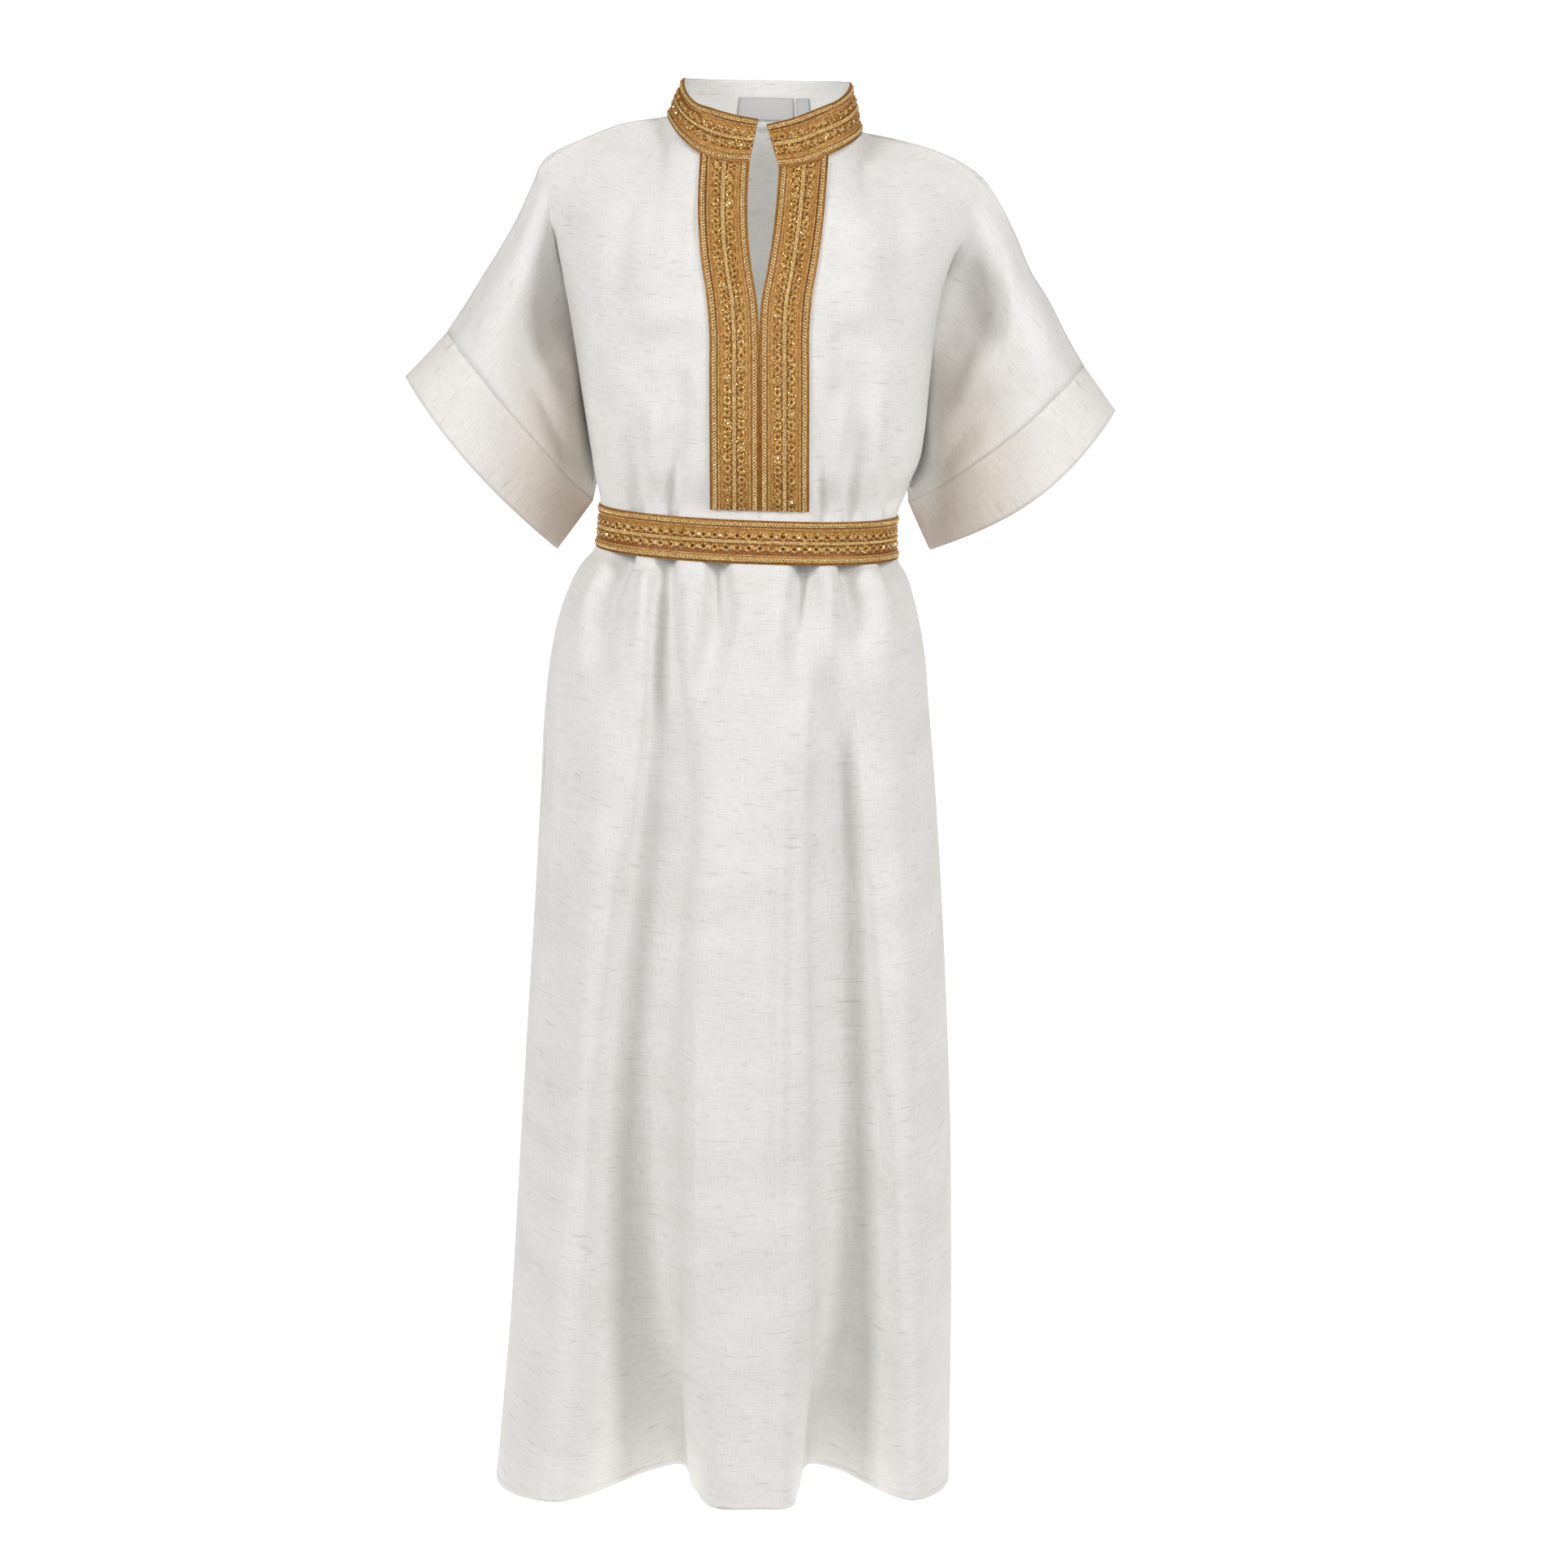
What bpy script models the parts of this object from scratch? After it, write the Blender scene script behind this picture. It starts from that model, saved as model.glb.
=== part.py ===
"""A belted kaftan, hollow as it is when worn.

One skin is lofted for the whole garment, so that neighbouring pieces share their
seam and its normals. Each piece is then taken off the skin, drawn back a little
from its seams and given its own wall. Trims, belt and labels are made from the
points of the cloth they lie on, moved out along its normals.

Metres, +Z up. The front faces -Y, and the wearer's left is +X. The origin is at
the middle of the neck, at the height of the neck seam.
"""

import math
from collections import namedtuple

import bmesh
import bpy
from mathutils import Vector

MM = 0.001

# ---------------------------------------------------------------- walls and gaps
CLOTH_WALL = 1.3 * MM
CUFF_WALL = 2.0 * MM
TRIM_WALL = 1.2 * MM
LABEL_WALL = 1.0 * MM
SEAM_SETBACK = 0.22 * MM
LAID_GAP = 0.4 * MM
MERGE = 0.01 * MM
EDGE_ANGLE = math.radians(50)

# ---------------------------------------------------------------- rows and columns
SIDE_COLUMNS = 16
TRIM_COLUMNS = 2
NECK_COLUMN = 5
ARM_ROWS = 10
SLEEVE_STATIONS = 6
CUFF_STATIONS = 2

# ---------------------------------------------------------------- trims, belt, labels
TRIM_WIDTH = 47 * MM
SLIT_HALF_WIDTH = 13.5 * MM
SLIT_BOTTOM = -178 * MM
PLACKET_END = -352 * MM
BELT_TOP = -361 * MM
BELT_MIDDLE = -382 * MM
BELT_BOTTOM = -403 * MM
HEM = -1325 * MM

# The columns of the front's middle are as wide as the placket's trims, and below
# the belt as wide as the box fold that hangs there.
Middle = namedtuple("Middle", "z right left")
MIDDLES = (
    Middle(-470, 47, 47),
    Middle(-620, 58, 50),
    Middle(-850, 74, 54),
    Middle(-1100, 72, 48),
    Middle(-1325, 78, 46),
)

# Heights of the rows below the placket, at the side seam on the wearer's right.
LEVELS = [
    PLACKET_END,
    BELT_TOP,
    BELT_MIDDLE,
    BELT_BOTTOM,
    *(z * MM for z in (-422, -450, -495, -560, -650, -755, -865, -975, -1080, -1170, -1250)),
    HEM,
]

# The belt hangs lower at the front, and lower on the wearer's left.
FRONT_DROOP = 7 * MM
SIDE_TILT = 6 * MM
DROOP_ENDS = -600 * MM

# ---------------------------------------------------------------- rounds of the body
# Half widths on the wearer's right and left, and depths to front and back, in mm.
# A roundness of 2 is an ellipse, and more is squarer.
Girth = namedtuple("Girth", "z right left front back roundness")
GIRTHS = (
    Girth(0, 214, 222, 84, 86, 2.3),
    Girth(-40, 213, 217, 96, 94, 2.3),
    Girth(-80, 204, 205, 106, 102, 2.3),
    Girth(-130, 193, 184, 116, 110, 2.3),
    Girth(-190, 182, 170, 124, 115, 2.3),
    Girth(-240, 175, 165, 127, 116, 2.3),
    Girth(-300, 166, 159, 122, 113, 2.3),
    Girth(-345, 159, 147, 112, 106, 2.3),
    Girth(-361, 156, 134, 103, 101, 2.2),
    Girth(-382, 157, 132, 103, 101, 2.2),
    Girth(-403, 160, 134, 106, 104, 2.2),
    Girth(-422, 176, 144, 114, 114, 2.2),
    Girth(-450, 190, 152, 122, 125, 2.2),
    Girth(-492, 202, 160, 130, 134, 2.3),
    Girth(-552, 211, 165, 136, 140, 2.3),
    Girth(-666, 218, 174, 144, 146, 2.3),
    Girth(-828, 228, 183, 148, 152, 2.5),
    Girth(-1000, 239, 189, 152, 158, 2.8),
    Girth(-1160, 249, 190, 155, 164, 3.1),
    Girth(-1325, 264, 188, 158, 168, 3.6),
)

# How far round the cloth goes, in degrees from the centre, before the sleeve takes
# over, by share of the armhole's depth. Past 90 it tucks in behind the body.
Armhole = namedtuple("Armhole", "z front back")
ARMHOLES = (
    Armhole(0.0, 72, 72),
    Armhole(0.1, 72, 72),
    Armhole(0.2, 82, 70),
    Armhole(0.3, 98, 69),
    Armhole(0.45, 112, 68),
    Armhole(0.75, 116, 70),
    Armhole(1.0, 101, 82),
)
TUCK_DEPTH = 40 * MM

# From this share of the armhole's depth the back is drawn in to meet the front.
PINCH_FROM = 0.6
UNDERARM_RISE = 17 * MM

# Share of the armhole's depth over which the shoulder turns into the chest.
SHOULDER_ROUND = 0.4

# ---------------------------------------------------------------- seams over and under the arm
# Place 0 is the neck, 1 the shoulder's tip, 2 the cuff's seam and 3 its edge.
Seam = namedtuple("Seam", "z right_x right_z left_x left_z")
OVERARM = (
    Seam(0.0, 88, 10, 97, -5),
    Seam(0.35, 128, 4, 137, -13),
    Seam(0.7, 172, -12, 180, -27),
    Seam(1.0, 208, -31, 213, -47),
    Seam(1.25, 228, -74, 242, -91),
    Seam(1.5, 252, -116, 262, -137),
    Seam(1.75, 278, -157, 286, -180),
    Seam(2.0, 304, -196, 315, -229),
    Seam(3.0, 345, -239, 346, -272),
)
UNDERARM = (
    Seam(2.0, 164, -361, 145, -363),
    Seam(3.0, 199, -408, 166, -409),
)
# Bow of the cuff's seam and edge, on the wearer's right and left.
Bow = namedtuple("Bow", "z right left")
CUFF_BOWS = (Bow(2.0, 1, 8), Bow(3.0, 6, 19))

# The sleeve is fullest nearer the seam over the arm, and squarer than a half ellipse.
SLEEVE_FRONT = 58 * MM
SLEEVE_BACK = 56 * MM
SLEEVE_SKEW = 0.8
SLEEVE_FULLNESS = 0.7
UNDERARM_Y = 12 * MM

# Shares of the sleeve's length between which its front comes out of the fold at the
# armhole, and how closely that fold keeps to the middle of the sleeve's front.
VALLEY_FROM = 0.12
VALLEY_TO = 0.62
VALLEY_EDGE = 4

# ---------------------------------------------------------------- neck and collar
NECK_CENTRE = 4.5 * MM
NECK_HALF_WIDTH = 92.5 * MM
NECK_FRONT = 80 * MM
NECK_BACK = 72 * MM
COLLAR_TOP_CENTRE = 7 * MM
COLLAR_TOP_HALF_WIDTH = 79 * MM
COLLAR_TOP_FRONT = 60 * MM
COLLAR_TOP_BACK = 66 * MM
# The collar's front corners lean in towards each other at its top, and this dies
# away round the neck, by so many degrees from the centre front.
COLLAR_LEANS = {"right": 4 * MM, "left": -13 * MM}
COLLAR_LEAN_ENDS = 62
# Heights of the neck seam and of the collar's top, by degrees from the centre front.
NeckRow = namedtuple("NeckRow", "z right_seam right_top left_seam left_top")
NECK = (
    NeckRow(0, -39, 1, -45, -5),
    NeckRow(25, -37, 8, -40, 5),
    NeckRow(45, -26, 16, -28, 17),
    NeckRow(65, -7, 24, -17, 27),
    NeckRow(90, 10, 45, -5, 41),
    NeckRow(130, 5, 48, 0, 46),
    NeckRow(180, 3, 49, 3, 49),
)
COLLAR_ROWS = (0.0, 0.14, 0.62, 1.0)

# The label and the tab beside it, by columns from the centre back.
LABEL_COLUMNS = (-1.0, 0.0, 1.0)
TAB_COLUMNS = (1.12, 1.66)
LABEL_TILT = 0.1

# ---------------------------------------------------------------- folds of the skirt
# Where a fold's trough lies across the garment (x), how far it reaches to either
# side, how deep it is pressed and how far its bottom leans over, all in mm.
Fold = namedtuple("Fold", "z x right left depth lean")
FOLDS = {
    "front": (
        (
            Fold(-410, -88, 24, 20, 6, 0),
            Fold(-620, -92, 32, 28, 15, 0),
            Fold(-850, -118, 48, 42, 28, 3),
            Fold(-1100, -116, 76, 56, 62, 10),
            Fold(-1325, -107, 101, 54, 142, 29),
        ),
        (
            Fold(-410, 64, 16, 18, 4, 0),
            Fold(-620, 76, 26, 26, 13, 0),
            Fold(-850, 83, 34, 40, 24, -2),
            Fold(-1100, 86, 48, 62, 56, -6),
            Fold(-1325, 73, 50, 84, 142, -20),
        ),
    ),
    "back": (
        (
            Fold(-410, -98, 26, 30, 6, 0),
            Fold(-850, -128, 44, 40, 22, 0),
            Fold(-1325, -158, 68, 60, 58, 8),
        ),
        (
            Fold(-410, 8, 26, 26, 5, 0),
            Fold(-850, 4, 40, 44, 22, 0),
            Fold(-1325, -10, 60, 70, 64, -8),
        ),
        (
            Fold(-410, 84, 24, 22, 6, 0),
            Fold(-850, 106, 38, 34, 24, 0),
            Fold(-1325, 116, 50, 46, 52, -6),
        ),
    ),
}
FOLDS_START = -403 * MM
FOLDS_FULL = -470 * MM

Finish = namedtuple("Finish", "colour roughness metallic")
FINISHES = {
    "linen": Finish((0.80, 0.77, 0.72), 0.85, 0.0),
    "gold_trim": Finish((0.47, 0.27, 0.08), 0.45, 0.6),
    "label_cloth": Finish((0.70, 0.69, 0.68), 0.6, 0.0),
}


# ================================================================ reading the tables
def read(table, column, place):
    """A column's value at a place: a cubic through the rows that never overshoots."""
    rows = sorted((row.z, getattr(row, column)) for row in table)
    places = [row[0] for row in rows]
    values = [row[1] for row in rows]
    if place <= places[0]:
        return values[0]
    if place >= places[-1]:
        return values[-1]
    steps = [(v - u) / (q - p) for p, q, u, v in zip(places, places[1:], values, values[1:])]
    inner = [0 if a * b <= 0 else 2 * a * b / (a + b) for a, b in zip(steps, steps[1:])]
    slopes = [steps[0], *inner, steps[-1]]
    at = max(i for i, start in enumerate(places[:-1]) if start <= place)
    span = places[at + 1] - places[at]
    u = (place - places[at]) / span
    return (
        values[at] * (1 + 2 * u) * (1 - u) ** 2
        + values[at + 1] * u * u * (3 - 2 * u)
        + span * (slopes[at] * u * (1 - u) ** 2 - slopes[at + 1] * u * u * (1 - u))
    )


def read_mm(table, column, place):
    return read(table, column, place) * MM


def eased(value, start, end):
    """0 at start, 1 at end, smooth between."""
    u = min(1.0, max(0.0, (value - start) / (end - start)))
    return u * u * (3 - 2 * u)


def blend(a, b, share):
    return a + (b - a) * share


def side_name(side):
    return "left" if side > 0 else "right"


# ================================================================ rounds of the body
def round_point(face, angle, z):
    """A point of the round at height z: 0 degrees is the centre, 90 the side seam."""
    width = read_mm(GIRTHS, "left" if angle > 0 else "right", z / MM)
    depth = read_mm(GIRTHS, face, z / MM)
    turn = math.radians(abs(angle))
    power = 2 / read(GIRTHS, "roundness", z / MM)
    x = math.copysign(width * math.sin(turn) ** power, angle)
    reach = math.cos(turn)
    y = depth * reach**power if reach >= 0 else -TUCK_DEPTH * (-reach) ** power
    return Vector((x, -y if face == "front" else y, z))


def angle_of(side, x, z):
    """The angle at which the round is x from the centre line."""
    width = read_mm(GIRTHS, side_name(side), z / MM)
    power = read(GIRTHS, "roundness", z / MM) / 2
    return math.degrees(math.asin((x / width) ** power))


def fold_shift(face, x, z):
    """How far the skirt's folds move a point of the round: inwards, and across."""
    inwards = 0.0
    across = 0.0
    for fold in FOLDS[face]:
        offset = x - read_mm(fold, "x", z / MM)
        share = abs(offset) / read_mm(fold, side_name(offset), z / MM)
        if share >= 1:
            continue
        press = (1 + math.cos(math.pi * share)) / 2
        inwards += press * read_mm(fold, "depth", z / MM)
        across += press * read_mm(fold, "lean", z / MM)
    fade = eased(z, FOLDS_START, FOLDS_FULL)
    return inwards * fade, across * fade


def droop(face, angle, z):
    """How much lower a point lies than its level, near the belt."""
    turn = math.radians(max(-90, min(90, angle)))
    front = FRONT_DROOP * math.cos(turn) if face == "front" else 0.0
    return (front + SIDE_TILT * (1 + math.sin(turn))) * (1 - eased(z, BELT_BOTTOM, DROOP_ENDS))


def skirt_point(face, angle, level):
    point = round_point(face, angle, level)
    inwards, across = fold_shift(face, point.x, level)
    point.x += across
    point.y += inwards if face == "front" else -inwards
    point.z -= droop(face, angle, level)
    return point


# ================================================================ neck
def slit_at(z):
    """Half the slit's width at a height: widest at the neck, shut at its bottom."""
    top = NECK[0].right_seam * MM
    share = min(1.0, max(0.0, (top - z) / (top - SLIT_BOTTOM)))
    return SLIT_HALF_WIDTH * (1 - share * share)


def neck_turn(face, column):
    """Degrees from the centre front of a column's end at the neck."""
    if face == "back":
        return 180 - 90 * column / NECK_COLUMN
    if column > TRIM_COLUMNS:
        start = neck_turn(face, TRIM_COLUMNS)
        return blend(start, 90, (column - TRIM_COLUMNS) / (NECK_COLUMN - TRIM_COLUMNS))
    x = SLIT_HALF_WIDTH + TRIM_WIDTH * column / TRIM_COLUMNS
    return math.degrees(math.asin(x / NECK_HALF_WIDTH))


def collar_point(side, turn, share):
    """A point of the stand collar, from its seam (share 0) to its top (share 1)."""
    name = side_name(side)
    angle = math.radians(turn)
    front = turn < 90
    centre = blend(NECK_CENTRE, COLLAR_TOP_CENTRE, share)
    width = blend(NECK_HALF_WIDTH, COLLAR_TOP_HALF_WIDTH, share)
    low, high = (NECK_FRONT, COLLAR_TOP_FRONT) if front else (NECK_BACK, COLLAR_TOP_BACK)
    z = blend(read_mm(NECK, name + "_seam", turn), read_mm(NECK, name + "_top", turn), share)
    y = -math.cos(angle) * blend(low, high, share)
    lean = COLLAR_LEANS[name] * share * (1 - eased(turn, 0, COLLAR_LEAN_ENDS))
    return Vector((centre + side * width * math.sin(angle) + lean, y, z))


# ================================================================ bodice
def seam_point(table, side, place, y):
    name = side_name(side)
    x = side * read_mm(table, name + "_x", place)
    return Vector((x, y, read_mm(table, name + "_z", place)))


def top_point(face, side, column):
    """The upper end of a column: on the neck seam, or on the shoulder seam."""
    if column <= NECK_COLUMN:
        return collar_point(side, neck_turn(face, column), 0)
    share = (column - NECK_COLUMN) / (SIDE_COLUMNS - NECK_COLUMN)
    start = collar_point(side, 90, 0)
    point = seam_point(OVERARM, side, share, 0)
    return point + (start - seam_point(OVERARM, side, 0, 0)) * (1 - share)


def column_angle(face, side, column, z, turn):
    """The angle of a column on the round at height z. The first ones edge the trim."""
    if face == "back":
        return side * turn * column / SIDE_COLUMNS
    opening = slit_at(z)
    middle = read_mm(MIDDLES, side_name(side), z / MM)
    if column <= TRIM_COLUMNS:
        return side * angle_of(side, opening + middle * column / TRIM_COLUMNS, z)
    start = angle_of(side, opening + middle, z)
    return side * blend(start, turn, (column - TRIM_COLUMNS) / (SIDE_COLUMNS - TRIM_COLUMNS))


def bodice_point(face, side, column, row):
    """A point between the shoulder (row 0) and the placket's end (row ARM_ROWS)."""
    share = row / ARM_ROWS
    top = top_point(face, side, column)
    turn = read(ARMHOLES, face, share)
    rise = UNDERARM_RISE * eased(column, SIDE_COLUMNS / 2, SIDE_COLUMNS)
    drop = droop(face, side * 90 * column / SIDE_COLUMNS, PLACKET_END)
    z = blend(top.z, PLACKET_END - drop + rise, share)
    rounded = 1 - (1 - min(1.0, share / SHOULDER_ROUND)) ** 2
    point = top.lerp(round_point(face, column_angle(face, side, column, z, turn), z), rounded)
    point.z = z
    if face == "back":
        goal = bodice_point("front", side, SIDE_COLUMNS, ARM_ROWS)
        edge = round_point(face, side * ARMHOLES[-1].back, goal.z)
        pinch = eased(share, PINCH_FROM, 1) * eased(column, SIDE_COLUMNS / 2, SIDE_COLUMNS)
        point += (goal - edge) * pinch
    return point


# ================================================================ sleeves
def sleeve_swell(share):
    """Share of the sleeve's full depth, from the seam over the arm to the one under it."""
    return math.sin(math.pi * share**SLEEVE_SKEW) ** SLEEVE_FULLNESS


def sleeve_line(face, side, place, share):
    """A point on the cuff's seam (place 2), its edge (place 3), or between them."""
    over = seam_point(OVERARM, side, place, 0)
    under = seam_point(UNDERARM, side, place, UNDERARM_Y)
    along = (under - over).normalized()
    outward = Vector((side * abs(along.z), 0, -abs(along.x)))
    bow = read_mm(CUFF_BOWS, side_name(side), place) * math.sin(math.pi * share)
    point = over.lerp(under, share) + outward * bow
    depth = -SLEEVE_FRONT if face == "front" else SLEEVE_BACK
    point.y += depth * sleeve_swell(share)
    return point


def sleeve_point(face, side, station, row):
    """A point of the sleeve, from the armhole (station 0) to the cuff's seam."""
    share = row / ARM_ROWS
    along = station / SLEEVE_STATIONS
    armhole = [bodice_point(face, side, SIDE_COLUMNS, r) for r in (0, row, ARM_ROWS)]
    cuff = [sleeve_line(face, side, 2, s) for s in (0, share, 1)]
    over = seam_point(OVERARM, side, 1 + along, 0)
    under = armhole[2].lerp(cuff[2], along)
    point = over.lerp(under, share)
    point += (armhole[1] - armhole[0].lerp(armhole[2], share)) * (1 - along)
    point += (cuff[1] - cuff[0].lerp(cuff[2], share)) * along
    reach = along
    if face == "front":
        reach = blend(eased(along, VALLEY_FROM, VALLEY_TO), along, abs(2 * share - 1) ** VALLEY_EDGE)
    point.y = blend(armhole[1].y, cuff[1].y, reach)
    return point


# ================================================================ the skin
PIECES = ("front", "back", "cuff_right", "cuff_left", "collar")
OWN_SIDE = {"front": Vector((0, -1, 0)), "back": Vector((0, 1, 0))}
TRIMS = ("none", "placket_trim_right", "placket_trim_left", "belt")


def lay_grid(skin, rows, piece, trim_of=lambda row, column: "none"):
    """Faces between rows of points, each marked with its piece and its trim."""
    piece_mark = skin.faces.layers.int["piece"]
    trim_mark = skin.faces.layers.int["trim"]
    knots = [[skin.verts.new(point) for point in row] for row in rows]
    for r, (upper, lower) in enumerate(zip(knots, knots[1:])):
        for c in range(len(upper) - 1):
            face = skin.faces.new((upper[c], lower[c], lower[c + 1], upper[c + 1]))
            face[piece_mark] = PIECES.index(piece)
            face[trim_mark] = TRIMS.index(trim_of(r, c))


def body_rows(face, side):
    """Half a panel's points, from the shoulder to the hem, centre to side."""
    columns = range(SIDE_COLUMNS + 1)
    rows = [[bodice_point(face, side, c, r) for c in columns] for r in range(ARM_ROWS + 1)]
    for level in LEVELS[1:]:
        rows.append([skirt_point(face, column_angle(face, side, c, level, 90), level) for c in columns])
    return rows


def body_trim(face, side):
    belt_rows = [LEVELS.index(BELT_TOP) + ARM_ROWS, LEVELS.index(BELT_MIDDLE) + ARM_ROWS]

    def trim_of(row, column):
        if row in belt_rows:
            return "belt"
        if face == "front" and row < ARM_ROWS and column < TRIM_COLUMNS:
            return "placket_trim_" + side_name(side)
        return "none"

    return trim_of


def lay_side(skin, side):
    """The skin's half on one side: both panels, the sleeve, the cuff and the collar."""
    rows = range(ARM_ROWS + 1)
    for face in ("front", "back"):
        lay_grid(skin, body_rows(face, side), face, body_trim(face, side))
        stations = range(SLEEVE_STATIONS + 1)
        sleeve = [[sleeve_point(face, side, s, r) for r in rows] for s in stations]
        lay_grid(skin, sleeve, face)
        places = [2 + s / CUFF_STATIONS for s in range(CUFF_STATIONS + 1)]
        cuff = [[sleeve_line(face, side, p, r / ARM_ROWS) for r in rows] for p in places]
        lay_grid(skin, cuff, "cuff_" + side_name(side))
        turns = [neck_turn(face, c) for c in range(NECK_COLUMN + 1)]
        collar = [[collar_point(side, turn, share) for turn in turns] for share in COLLAR_ROWS]
        lay_grid(skin, collar, "collar")


def make_skin():
    skin = bmesh.new()
    skin.faces.layers.int.new("piece")
    skin.faces.layers.int.new("trim")
    for side in (-1, 1):
        lay_side(skin, side)
    bmesh.ops.remove_doubles(skin, verts=skin.verts[:], dist=MERGE)
    bmesh.ops.recalc_face_normals(skin, faces=skin.faces[:])
    foremost = min(skin.faces, key=lambda face: face.calc_center_median().y)
    if foremost.normal.y > 0:
        bmesh.ops.reverse_faces(skin, faces=skin.faces[:])
    skin.normal_update()
    return skin


# ================================================================ walls
def wall(name, points, normals, faces, inner, outer, finish):
    """A closed solid between two offsets of a patch of skin."""
    shell = bmesh.new()
    knots = [shell.verts.new(p + n * outer) for p, n in zip(points, normals)]
    for corners in faces:
        shell.faces.new([knots[i] for i in corners])
    shell.verts.index_update()
    made = bmesh.ops.extrude_face_region(shell, geom=shell.faces[:], use_keep_orig=True)
    order = {tuple(knot.co): i for i, knot in enumerate(knots)}
    for vert in (g for g in made["geom"] if isinstance(g, bmesh.types.BMVert)):
        i = order[tuple(vert.co)]
        vert.co = points[i] + normals[i] * inner
    bmesh.ops.recalc_face_normals(shell, faces=shell.faces[:])
    mesh = bpy.data.meshes.new(name)
    shell.to_mesh(mesh)
    shell.free()
    mesh.shade_smooth()
    mesh.set_sharp_from_angle(angle=EDGE_ANGLE)
    mesh.materials.append(material(finish))
    piece = bpy.data.objects.new(name, mesh)
    bpy.data.collections["kaftan"].objects.link(piece)
    return piece


def take_piece(skin, name, inner, outer, finish, mark="piece", names=PIECES, of=None):
    """Takes the marked faces off the skin, set back from their seams, as a wall."""
    layer = skin.faces.layers.int[mark]
    wanted = names.index(of or name)
    faces = [face for face in skin.faces if face[layer] == wanted]
    order = {}
    for face in faces:
        for vert in face.verts:
            order.setdefault(vert, len(order))
    points = []
    for vert in order:
        mine = [face for face in vert.link_faces if face[layer] == wanted]
        inside = sum((face.calc_center_median() for face in mine), Vector()) / len(mine) - vert.co
        at_edge = any(sum(f[layer] == wanted for f in e.link_faces) == 1 for e in vert.link_edges)
        away = (inside.normalized() + OWN_SIDE.get(name, Vector())).normalized()
        points.append(vert.co + away * (SEAM_SETBACK if at_edge else 0))
    normals = [vert.normal.copy() for vert in order]
    indices = [[order[vert] for vert in face.verts] for face in faces]
    return wall(name, points, normals, indices, inner, outer, finish)


def make_label(name, columns):
    """A blank woven label inside the back of the collar, on the collar's own facets."""
    share_low, share_high = COLLAR_ROWS[1:3]

    def knot(column, share):
        side = -1 if column < 0 else 1
        near = math.floor(abs(column))
        ends = [collar_point(side, neck_turn("back", c), share) for c in (near, near + 1)]
        return ends[0].lerp(ends[1], abs(column) - near)

    points = [knot(column, share) for share in (share_low, share_high) for column in columns]
    count = len(columns)
    faces = [(c, c + 1, c + 1 + count, c + count) for c in range(count - 1)]
    normals = [Vector((0, -1, LABEL_TILT)).normalized()] * len(points)
    start = CLOTH_WALL + LAID_GAP
    return wall(name, points, normals, faces, start, start + LABEL_WALL, "label_cloth")


# ================================================================ the scene
def material(name):
    found = bpy.data.materials.get(name)
    if found:
        return found
    made = bpy.data.materials.new(name)
    made.use_nodes = True
    shader = made.node_tree.nodes["Principled BSDF"]
    finish = FINISHES[name]
    shader.inputs["Base Color"].default_value = (*finish.colour, 1)
    shader.inputs["Roughness"].default_value = finish.roughness
    shader.inputs["Metallic"].default_value = finish.metallic
    return made


def clear_scene():
    for obj in list(bpy.data.objects):
        bpy.data.objects.remove(obj)
    bpy.context.scene.collection.children.link(bpy.data.collections.new("kaftan"))


def main():
    clear_scene()
    skin = make_skin()
    laid = (LAID_GAP, LAID_GAP + TRIM_WALL)
    for name in PIECES:
        depth = CUFF_WALL if name.startswith("cuff") else CLOTH_WALL
        take_piece(skin, name, -depth, 0, "linen")
    for name in TRIMS[1:]:
        take_piece(skin, name, *laid, "gold_trim", mark="trim", names=TRIMS)
    take_piece(skin, "collar_trim", *laid, "gold_trim", of="collar")
    skin.free()
    make_label("neck_label", LABEL_COLUMNS)
    make_label("neck_tab", TAB_COLUMNS)


main()
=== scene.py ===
# %% [markdown]
# # A belted kaftan with woven gold trims
#
# The real garment is a loose, ankle-length gown of slub linen, cut flat in two
# panels with the short sleeves in one piece with the body. Its stand collar, the
# two bands beside the neck slit and the separate belt are metallic woven ribbon.
#
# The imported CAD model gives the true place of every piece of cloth. Each step
# below turns one of its plain solids into a cloth, a ribbon or a row of thread.
#
# Lengths are in metres, +Z is up and the front faces -Y. The wearer's left is +X.

import math

import bmesh
import bpy
import numpy as np
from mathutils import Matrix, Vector


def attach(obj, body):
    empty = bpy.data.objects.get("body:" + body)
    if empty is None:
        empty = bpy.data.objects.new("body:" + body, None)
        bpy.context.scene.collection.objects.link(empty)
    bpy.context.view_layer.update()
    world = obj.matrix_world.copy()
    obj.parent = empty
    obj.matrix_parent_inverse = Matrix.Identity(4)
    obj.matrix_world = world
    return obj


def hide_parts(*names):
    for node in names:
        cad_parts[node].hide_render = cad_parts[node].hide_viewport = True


MM = 0.001

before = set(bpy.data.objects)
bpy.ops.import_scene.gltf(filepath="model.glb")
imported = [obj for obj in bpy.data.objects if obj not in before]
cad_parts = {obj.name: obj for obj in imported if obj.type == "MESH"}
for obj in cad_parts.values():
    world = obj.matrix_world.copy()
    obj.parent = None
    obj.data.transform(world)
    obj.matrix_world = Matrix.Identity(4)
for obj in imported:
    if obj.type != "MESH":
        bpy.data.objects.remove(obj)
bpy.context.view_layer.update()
print("CAD nodes:", ", ".join(sorted(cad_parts)))

# %% [markdown]
# ## Camera
#
# A fashion picture of a whole gown is taken from several metres away with a long
# lens, so that it hardly widens the shoulders. The camera stands 3.6 m away, a
# little above the middle, and looks down by 7 degrees.

# %% Place the camera
CAMERA_AT = (0.0232, -3.5732, -0.2)
CAMERA_DOWN = math.radians(7)
VIEW_WIDTH = 1.5456  # how much of the garment's plane the picture's width covers
VIEW_DISTANCE = 3.6
SENSOR = 36  # millimetres

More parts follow.
